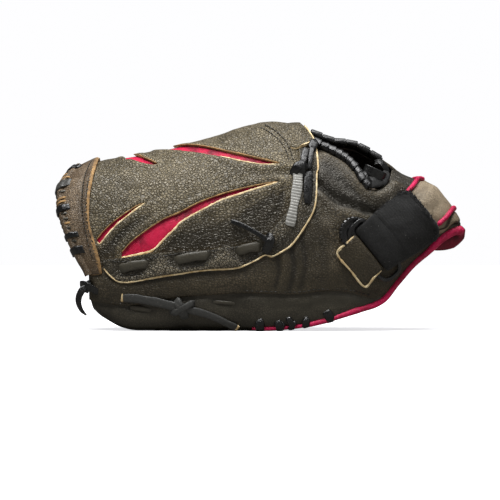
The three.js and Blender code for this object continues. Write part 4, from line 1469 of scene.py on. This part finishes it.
def rim_knot():
    """The knot on the near rim: a flat folded lace, two side laces and inner turns painted near black as the
    shadow in the knot's hollow.
    """
    knot = [
        cord(THUMB, [(69.8, 110, 1.6), (71.2, 106.4, 3.2), (73.2, 102.4, 3.4), (77, 99.6, 1.6)],
             5.2, 2.0, 7, sharp=0.4),
        cord(THUMB, [(79.5, 117, 1.2), (83, 115.2, 3.4), (86, 112.4, 3.2), (88, 110.4, 1)],
             6.2, 2.0, 27, sharp=0.4),
    ]
    base = skin(np.array(chart(THUMB, [(78.5, 107.5)])), 5.0)[0]
    base[2] = 110.6 + shift[2]
    fold = [(-6.8, 2.4, 3.2), (-5.8, 0.4, 2.7), (-3, -0.6, 1.4), (0, -0.9, 0), (3, -0.6, -1.3),
            (5.6, 0.4, -2.5), (6.9, 2.6, -3.1)]
    centres = smooth([tuple(base + np.array(spot)) for spot in fold], 0.8)
    knot.append(ribbon_parts(centres, np.array([0.4, 0.0, 0.92]), 6.4, 1.5, 16, 0.25))
    tied("rim_lace_knot", knot, lace_black, "thumb_half", "lace", "rim_knot")
    under = [
        cord(THUMB, [(73, 103.6, 0.8), (78.5, 102.6, 2.4), (84.5, 104, 1.2)], 9.5, 2.6, 28),
        cord(THUMB, [(86.8, 110.6, 1.6), (87, 106, 2.6), (84.4, 101.2, 1.6)], 5, 2.2, 6),
    ]
    tied("rim_lace_knot_inner", under, shadow_lace, "thumb_half", "lace")


def edge_lacing(side, stops, width, seed):
    """Laces wrapped over the mouth edge, short and uneven."""
    parts = []
    for i, x in enumerate(stops):
        base = float(mouth(x))
        lean = 1.1 * np.sin(2.3 * i + seed)
        tall = 1 + 0.18 * np.sin(3.1 * i + seed)
        path = [
            (x - 1.5 + lean, base + 7.2 * tall, -0.8), (x - 0.6 + lean, base + 5.6 * tall, 1.0),
            (x + 0.3, base + 3.6 * tall, 1.9), (x + 0.8, base + 1.6, 2.0), (x + 1, base + 0.7, 1.0),
        ]
        size = width * (1 + 0.2 * np.sin(1.7 * i + seed))
        parts.append(cord(side, path, size, 2.4, 40 + i + seed, sharp=0.7))
        path = [(x + 2.8 - lean, base + 5.2, -0.4), (x + 1.5, base + 3, 2.2), (x - 1.6, base + 1.2, 1.8)]
        parts.append(cord(side, path, size * 0.62, 1.8, 50 + i + seed, sharp=0.8))
    return parts


def heel_lacing():
    """The laces over the mouth edge at the heel, on both sides."""
    near = edge_lacing(THUMB, (-2, 12, 20, 30, 46.5), 5.6, 1)
    tied("heel_lace_wraps_near", near, lace_black, "thumb_half", "lace", "heel_lace_thumb")
    far = edge_lacing(FINGERS, (18, 29, 40, 51, 62), 5.0, 2)
    tied("heel_lace_wraps_far", far, lace_black, "finger_half", "lace", "heel_lace_fingers")


def thumb_tail():
    """The long knotted lace that hangs along the thumb."""
    tail = cord(THUMB,
                [(-97, 23.2, 1.4), (-88, 22.6, 1.8), (-76, 20.6, 2.0), (-63, 17.6, 3.2), (-52, 15.4, 3.6)],
                6.2, 1.8, 8)
    knot_over = cord(THUMB,
                     [(-60, 22, 0.8), (-58.5, 19.5, 4), (-56.5, 15.5, 5), (-54.5, 11.5, 3.6), (-53.5, 9, 1)],
                     6.2, 2.2, 9)
    knot_side = cord(THUMB,
                     [(-64, 14, 1), (-60, 13, 4.4), (-54, 16, 5.8), (-49.5, 18.6, 4.2), (-47, 19.6, 1)],
                     4.6, 2.0, 10)
    end = cord(THUMB, [(-52, 14.8, 3.6), (-43, 13, 3.2), (-35, 10.4, 2.8), (-27, 7, 2.6), (-17.5, 3.4, 2.2)],
               5.2, 1.8, 11)
    tied("thumb_tail_lace_knot", [tail, knot_over, knot_side, end], lace_tail, "thumb_half", "lace",
         "thumb_tail_lace")
    cut = [
        cord(THUMB, [(-98, 23.3, 1.4), (-97.4, 23.2, 1.4), (-96.8, 23.2, 1.4)], 6.4, 1.9, step=0.4),
        cord(THUMB, [(-18.2, 3.7, 2.2), (-17.5, 3.4, 2.2), (-16.9, 3.1, 2.2)], 5.3, 1.9, step=0.4),
    ]
    tied("thumb_tail_lace_cut_ends", cut, cream_edge, "thumb_half", "lace")


def corner_lace():
    """The knot at the web's lower corner, with its curved end."""
    corner = [
        cord(THUMB, [(-127, 33, 1), (-123, 31.5, 4), (-118, 29, 3), (-114, 27, 0.5)], 5.4, 2.2, 12),
        cord(THUMB, [(-122, 34.5, 1), (-121.5, 31, 5), (-123, 27, 3)], 4.6, 2.0, 13),
    ]
    root = skin(np.array(chart(THUMB, [(-122, 31)])), 3.0)[0]
    bends = [(0, 0, 0), (-3.2, -1.5, -2.5), (-5.6, -2, -7), (-5.8, -2, -12), (-3.8, -1.6, -16.8),
             (-0.4, -1.2, -20.3)]
    horn = smooth([tuple(root + np.array(bend)) for bend in bends], 0.8)
    size = np.interp(np.linspace(0, 1, len(horn)), [0, 0.15, 0.5, 0.85, 1], [3.4, 5.2, 4.4, 2.6, 0.9])
    wide = np.cross(np.gradient(horn, axis=0), [0.15, 1.0, 0.1])
    corner.append(ribbon_parts(horn, wide, size, 1.9 * np.sqrt(size / 5.2), 12, 0.6))
    tied("corner_lace_knot", corner, lace_black, "thumb_half", "lace", "corner_lace")


def side_tail():
    """The thin lace that runs up over the web from the flap's bend."""
    side = [
        cord(THUMB, [(2, 54, 2.6), (4.5, 57.5, 6), (5.5, 62, 6), (3, 65.5, 2.6)], 6.2, 2.4, 15),
        cord(THUMB, [(4, 60, 6), (0, 63.5, 5.6), (-8, 68.5, 4.6), (-15, 72.5, 3.6), (-21.5, 75.2, 2.6)],
             3.4, 1.7, 16),
    ]
    tied("web_side_tail_knot", side, lace_black, "thumb_half", "lace", "web_side_tail")


def web_base_laces():
    """The crimped flat lace, the lace under it and the knot at the base of the web."""
    lift = OVERLAY + 1.6
    strip = cord(THUMB, [(24.7, 108, lift), (24.6, 100, lift + 0.6), (23, 90, lift), (21, 80, lift + 0.4),
                         (19, 71.4, lift - 0.4)],
                 6.4, 1.7, step=0.3, wobble=0.5, seed=17, crimp=0.24)
    tied("web_base_flat_lace", [strip], lace_grey, "thumb_half", "lace")
    hollow = [cord(THUMB, [(31.5, 87, lift - 1), (31.8, 98, lift - 0.8), (32.5, 109, lift - 1)],
                   5.6, 1.2, 29)]
    tied("web_base_inner_lace", hollow, lace_black, "thumb_half", "lace")
    knot = [
        cord(THUMB, [(35, 124, lift), (37, 128, lift + 0.4), (41, 130, 1.5)], 6.5, 2.2, 30),
        cord(THUMB, [(21, 106, lift - 1), (25, 109.5, lift + 3), (31.5, 111.5, lift)], 6.6, 2.6, 18),
        cord(THUMB, [(28, 105, lift - 1), (27.5, 110, lift + 3.4), (29, 115.5, lift + 1), (31, 124, lift)],
             5.0, 2.0, 19),
        cord(THUMB, [(33, 110, lift), (34, 117, lift + 1), (35, 125, lift)], 3.8, 1.9, 20),
    ]
    tied("web_base_knot", knot, lace_black, "thumb_half", "lace", "web_base_lace")


def web_base():
    """The brown flap over the web's base and the double row of stitches beside it."""
    outline = chart(THUMB, [(14, 142), (18, 132), (21.5, 127.5), (26.9, 126.6), (35.8, 130.6), (34, 136),
                            (30, 141.6)])
    outline += [(25, -1.0), (14, -1.0)]

    def leaning(flat):
        return -1.4 + (OVERLAY + 2.2) * np.clip((flat[:, 0] - 15) / 12, 0, 1)

    # A dent that the shade mark paints dark as the lace hole: painted shade.
    hole = ridges(THUMB, ([(15.8, 141.4), (18.2, 141.8)], 1.2, -2.2))
    flap = panel("web_base_flap", [outline], leaning, 1.8, [pebbled, cream_edge, flesh], step=1.2,
                 relief=hole, lumps=0.3, seed=99)
    settle(flap, "thumb_half", "leather")
    raw = [edge_strip(outline[3:7], 1.1, lift=OVERLAY + 0.6, thick=1.4, seed=98)]
    tied("web_base_raw_edge", raw, cream_edge, "thumb_half", "leather")
    lines = [
        chart(THUMB, [(2, 145), (11.2, 138.6), (16.9, 132.2), (20.4, 124.3), (21.9, 117.1)]),
        chart(THUMB, [(-1, 143), (8.4, 136.8), (14.2, 130.6), (17.6, 123.4), (19, 117.1)]),
    ]
    sew("web_base_stitches", lines, 0.5, "thumb_half")


rims()
rim_knot()
heel_lacing()
thumb_tail()
corner_lace()
side_tail()
web_base_laces()
web_base()


# --- Strap, ring and tab ---
# The strap's own plan: its ring's centre and directions on (x, z), half of its width, where its free end
# lies, how far that end's corners are rounded, how far its lower corner hangs, and the ring's lift.
RING_CENTRE = np.array([80.0, 58.0])
RING_LONG = np.array([0.665, -0.747])
STRAP_WAY = np.array([0.747, 0.665])
STRAP_HALF = 19.0
STRAP_END = 38.2
ROUNDING = 6.0
DROOP = 2.8
RING_LIFT = 5.8


def strap_place(along_ring, along_strap):
    """(x, z) on the thumb side, so far along the ring and so far along the strap."""
    return RING_CENTRE + np.outer(along_ring, RING_LONG) + np.outer(along_strap, STRAP_WAY)


def skewed(u, v):
    """The strap leans to one side on its way from the ring, and is narrower in the ring."""
    return u * (0.9 + 0.1 * np.clip(v / 20, 0, 1)) + 1.0 + 0.105 * v


def corner_pull(u, v, half, rounding):
    """How far the corners of the free end are drawn back, to round them."""
    outer = np.clip((np.abs(u) / half - 0.7) / 0.3, 0, 1) ** 2
    return rounding * outer * np.clip((v - 26) / 12, 0, 1)


def strap_sheet(name, profile, half, thick, material, tilt=None, seed=1, rib=0.0, pitch=2.2, lean=False,
                rounding=0.0):
    """A strap: profile is its centre line as (along the strap, lift), half is half of its width.

    tilt adds to the lift at (across, along) places, rib is the height of woven ribs at a pitch, and
    lean makes it slant as skewed() says. Rounding draws the corners of its free end in.
    """
    line = smooth(profile, 0.6)
    forward = np.gradient(line, axis=0)
    forward /= np.linalg.norm(forward, axis=1)[:, None]
    columns = np.linspace(-half, half, 46)
    ring = np.concatenate([line, line[::-1]])
    way = np.concatenate([forward, forward[::-1]])
    turn = np.concatenate([np.ones(len(line)), -np.ones(len(line))])
    points = []
    for u in columns:
        end = np.minimum(np.arange(len(line)), np.arange(len(line))[::-1]) * 0.6
        edge = np.minimum(np.concatenate([end, end[::-1]]), half - abs(u))
        reach = thick / 2 * (1 - 0.7 * np.exp(-edge / 0.7))
        v = ring[:, 0] - way[:, 1] * reach * turn
        lift = ring[:, 1] + way[:, 0] * reach * turn
        spot = np.stack([np.full(len(v), u), v], 1)
        lift = lift + 0.3 * ripple(spot, 11, seed) + rib * np.sin(v / pitch * 2 * np.pi) * (turn > 0)
        if tilt is not None:
            lift = lift + tilt(spot)
        v = v - corner_pull(u, v, half, rounding)
        across = skewed(spot[:, 0], v) if lean else spot[:, 0]
        flat = np.array(chart(THUMB, strap_place(across, v)))
        points.append(skin(flat, lift))
    size = len(ring)
    faces = sleeve(len(columns), size)
    last = (len(columns) - 1) * size
    count = len(line)
    for j in range(count - 1):
        faces.append((j, size - 1 - j, size - 2 - j, j + 1))
        faces.append((last + j, last + j + 1, last + size - 2 - j, last + size - 1 - j))
    obj = make(name, np.concatenate(points), faces, [material])
    recalculate(obj)
    return obj


def recalculate(obj):
    """Turns every face of a closed shell outward."""
    mesh = bmesh.new()
    mesh.from_mesh(obj.data)
    bmesh.ops.recalc_face_normals(mesh, faces=mesh.faces)
    mesh.to_mesh(obj.data)
    mesh.free()


def fibres(count, place, length, seed):
    """Loose fibres that stand up along a frayed edge: place gives (u, v, lift) for a number from 0 to 1."""
    random = np.random.default_rng(seed)
    parts = []
    for share in np.linspace(0, 1, count):
        u, v, lift = place(share)
        lean = random.normal(0, 0.7, 3)
        ways = np.array([0, 0.5, 1])
        spots = strap_place(skewed(u + 2 * ways * lean[0], v), v + ways * lean[1])
        lifts = lift + np.array([0, 0.6, 1.1]) * length * (0.5 + 0.5 * random.random())
        centres = skin(np.array(chart(THUMB, spots)), lifts)
        parts.append(ribbon_parts(centres, np.array([1.0, 0.0, 0.0]), 0.34, 0.34, 4, 1.0))
    return parts


def droop(spot):
    """How far the lower corner of the strap's free end hangs."""
    return -DROOP * np.clip(-spot[:, 0] / STRAP_HALF, 0, 1) * np.clip((spot[:, 1] - 8) / 28, 0, 1)


def droop_and_lip(spot):
    """The droop, and the raised lip of the free end."""
    return droop(spot) + 1.3 * np.exp(-(((spot[:, 1] - 36.5) / 2.6) ** 2))


def strap_layers():
    """The lower layer, folded through the ring, and the free flap on it."""
    doubled = [(38, 5.2), (26, 5.4), (10, 5.4), (0, 5.0), (-3.5, 4.9), (-5.4, 6.3), (-5.2, 8.2), (-3, 9.4),
               (2, 9.6), (8, 9.2), (12, 9.0)]
    layer = strap_sheet("hook_strap_layer", doubled, STRAP_HALF, 2.0, loop_pile, tilt=droop, seed=101,
                        lean=True,
                        rounding=ROUNDING)
    settle(layer, "thumb_half", "hook_and_loop", "hook_strap")
    flap = strap_sheet("strap_flap_layer", [(10.8, 9.15), (22, 8.6), (30, 8.4), (39, 8.4)], STRAP_HALF + 0.3,
                       2.2,
                       loop_pile, tilt=droop_and_lip, seed=103, rib=0.11, pitch=1.8, lean=True,
                       rounding=ROUNDING)
    settle(flap, "strap_flap", "hook_and_loop", "strap_flap")


def frayed_end():
    """The worn edge of the free end, with loose fibres along its end and its lower side."""
    count = 60
    u = np.linspace(-STRAP_HALF, STRAP_HALF, count)
    v = STRAP_END - corner_pull(u, np.full(count, STRAP_END), STRAP_HALF, ROUNDING)
    fray = np.array(chart(THUMB, strap_place(skewed(u, v), v)))
    fallen = droop(np.stack([u, v], 1))
    size = 2.2 * (1 + 0.1 * ripple(np.stack([u, u * 0], 1), 6, 105)) * tapered(count, 0.6, 4)
    parts = [tube_parts(skin(fray, 9.0 + fallen), size)]

    def along_end(share):
        k = int(share * (count - 1))
        return u[k], v[k] + 0.3, 9.9 + fallen[k]

    def along_side(share):
        run = 26 * share
        return -STRAP_HALF, 12 + run, 9.0 - DROOP * np.clip((4 + run) / 28, 0, 1)

    parts += fibres(230, along_end, 2.5, 5)
    parts += fibres(60, along_side, 1.0, 6)
    tied("strap_frayed_end", parts, loop_pile, "strap_flap", "hook_and_loop")


def ring_tab():
    """The leather tab that holds the ring, folded double."""
    doubled = [(-24, 1.6), (-14, 2.2), (-9.6, 3.4), (-8.2, 6.0), (-9.2, 8.6), (-13, 9.0), (-18, 7.6),
               (-24.5, 4.8)]
    tab = strap_sheet("ring_tab_leather", doubled, 14.5, 1.9, heel_grain, seed=107)
    settle(tab, "thumb_half", "leather", "ring_tab")


def tab_edges():
    """The pale raw edges of the tab."""
    corners = [(-14.3, -9.5), (-14.5, -16), (-14.6, -24.6), (0, -25), (14.6, -24.8), (14.6, -16),
               (14.6, -9.5)]
    outline = []
    for i, lift in enumerate((9.2, 8.6, 5.2, 4.8, 5.1, 8.5, 9.1)):
        u, v = corners[i]
        outline.append((*chart(THUMB, strap_place(np.array([u]), np.array([v])))[0], lift))
    edge = smooth(outline, 0.7)
    centres = skin(edge[:, :2], edge[:, 2] - 0.3)
    size = 0.75 * tapered(len(edge), 0.6, 4) * (1 + 0.25 * ripple(edge[:, :2], 5, 108))
    parts = [tube_parts(centres, size)]
    lower = np.array(chart(THUMB, strap_place(np.full(8, -15.2), np.linspace(-24, -11, 8))))
    parts.append(tube_parts(skin(lower, np.linspace(2.4, 3.4, 8)), np.full(8, 0.65)))
    tied("ring_tab_raw_edges", parts, cream_edge, "thumb_half", "leather")


def disc_parts(centre, axis, radius):
    """A flat disc with a notched edge, as moulded at the end of the ring."""
    teeth, half = 22, 1.5
    axis = axis / np.linalg.norm(axis)
    side = np.cross(axis, [1.0, 0.0, 0.0])
    side /= np.linalg.norm(side)
    other = np.cross(axis, side)
    angles = np.arange(teeth * 4) / (teeth * 4) * 2 * np.pi
    notch = 1 - 0.07 * (np.cos(angles * teeth) > 0.2)
    rings = []
    for scale, height in ((0.12, -half), (0.8, -half), (1, -half * 0.5), (1, half * 0.6), (0.95, half),
                          (0.82, half), (0.78, half * 0.45), (0.7, half * 0.4), (0.5, half * 0.5),
                          (0.3, half * 0.7), (0.12, half * 0.75)):
        reach = radius * scale * (notch if scale > 0.7 else 1)
        outline = np.outer(np.cos(angles) * reach, side) + np.outer(np.sin(angles) * reach, other)
        rings.append(centre + outline + height * axis)
    count = len(angles)
    return np.concatenate(rings), sleeve(len(rings), count) + ends(len(rings), count)


def strap_ring():
    """The plastic ring, a rounded rectangle, with the notched disc at its upper end."""
    stops = np.arange(120) / 120 * 2 * np.pi
    along, across = 21.0 * squared(np.cos(stops), 0.42) + 1.6, 9.1 * squared(np.sin(stops), 0.6) - 4.3
    flat = np.array(chart(THUMB, strap_place(along, across)))
    centres = skin(flat, RING_LIFT + 3.6 * np.clip((-14 - along) / 5, 0, 1))
    wide = np.cross(np.roll(centres, -1, axis=0) - np.roll(centres, 1, axis=0), outward(flat))
    ring_parts = ribbon_parts(centres, wide, 2.8, 2.2, 14, 0.6, loop=True)
    spots = np.array(chart(THUMB, strap_place(np.array([-17.3, -15.7]), np.array([-7.0, -5.8]))))
    centre, ahead = skin(spots, RING_LIFT - 0.4)
    disc = disc_parts(centre, outward(spots)[0] + 0.15 * (ahead - centre), 11.2)
    ring = joined("strap_ring_moulding", [ring_parts, disc], [plastic], angle=40)
    settle(ring, "ring", "ring", "strap_ring")


strap_layers()
frayed_end()
ring_tab()
tab_edges()
strap_ring()


# --- Floor, light and camera ---
FLOOR_HALF = 6.0  # metres
CAMERA_AWAY = 1.5  # metres from the glove's middle plane
CAMERA_UP = 0.0567
CAMERA_SHIFT = -0.0059
VIEW_PLANE = -0.025  # where the view is VIEW_WIDTH wide, from the middle plane towards the camera
VIEW_WIDTH = 0.35
SENSOR = 36  # millimetres


def floor():
    """A pale floor that lights up to white with distance for the camera, and is darker in reflections."""
    half = FLOOR_HALF
    mesh = bpy.data.meshes.new("floor")
    corners = [(-half, -half, 0), (half, -half, 0), (half, half, 0), (-half, half, 0)]
    mesh.from_pydata(corners, [], [(0, 1, 2, 3)])
    plane = add(bpy.data.objects.new("floor", mesh))
    shader = Shader("pale_floor")
    patches = shader.span(shader.noise(300, 3), 0.3, 0.7)
    ground = shader.mix(patches, colour((236, 236, 235)), colour((240, 240, 239)))
    seen = shader.node("LightPath").outputs["Is Camera Ray"]
    ground = shader.mix(seen, colour((120, 118, 114)), ground)
    away = shader.node("VectorMath", {0: shader.place}, operation="LENGTH").outputs["Value"]
    glow = shader.math("MULTIPLY", seen, shader.span(away, 0.25, 0.8, 0.7, 1.0))
    fine = shader.bump(shader.noise(3, 2), 0.02)
    white = colour((252, 252, 255))
    mesh.materials.append(shader.finish(ground, 0.7, fine, Emission_Strength=glow, Emission_Color=white))


def pale_world():
    """A world that looks white and lights the glove softly."""
    world = bpy.data.worlds.new("pale_world")
    bpy.context.scene.world = world
    world.use_nodes = True
    tree = world.node_tree
    seen = tree.nodes.new("ShaderNodeLightPath").outputs["Is Camera Ray"]
    strength = tree.nodes.new("ShaderNodeMapRange")
    strength.inputs["To Min"].default_value = 0.16
    strength.inputs["To Max"].default_value = 1.0
    tree.links.new(seen, strength.inputs["Value"])
    background = tree.nodes["Background"]
    background.inputs["Color"].default_value = (0.99, 0.99, 1.0, 1)
    tree.links.new(strength.outputs["Result"], background.inputs["Strength"])
    bpy.context.scene.view_settings.view_transform = "Standard"


def lamps():
    """Square lamps from (name, place in metres, watts, width in metres), aimed at the glove."""
    for name, place, power, width in (
        ("key_light", (-0.3, -0.62, 1.25), 19, 0.5),
        ("top_light", (0.2, -0.1, 1.4), 18, 0.9),
        ("fill_light", (0.9, -1.1, 0.5), 1.5, 0.8),
    ):
        lamp = bpy.data.lights.new(name, "AREA")
        lamp.energy = power
        lamp.size = width
        obj = bpy.data.objects.new(name, lamp)
        obj.location = place
        aim = Vector((0, 0, 0.06)) - obj.location
        obj.rotation_euler = aim.to_track_quat("-Z", "Y").to_euler()
        add(obj)


def camera():
    """A camera level with the ground, square on to the thumb side."""
    lens = bpy.data.cameras.new("camera")
    lens.sensor_width = SENSOR
    lens.lens = SENSOR * (CAMERA_AWAY + VIEW_PLANE) / VIEW_WIDTH
    obj = add(bpy.data.objects.new("camera", lens))
    low, high = cad_box
    obj.location = ((low[0] + high[0]) / 2 + CAMERA_SHIFT, -CAMERA_AWAY, CAMERA_UP)
    obj.rotation_euler = (np.pi / 2, 0, 0)
    bpy.context.scene.camera = obj


floor()
pale_world()
lamps()
camera()
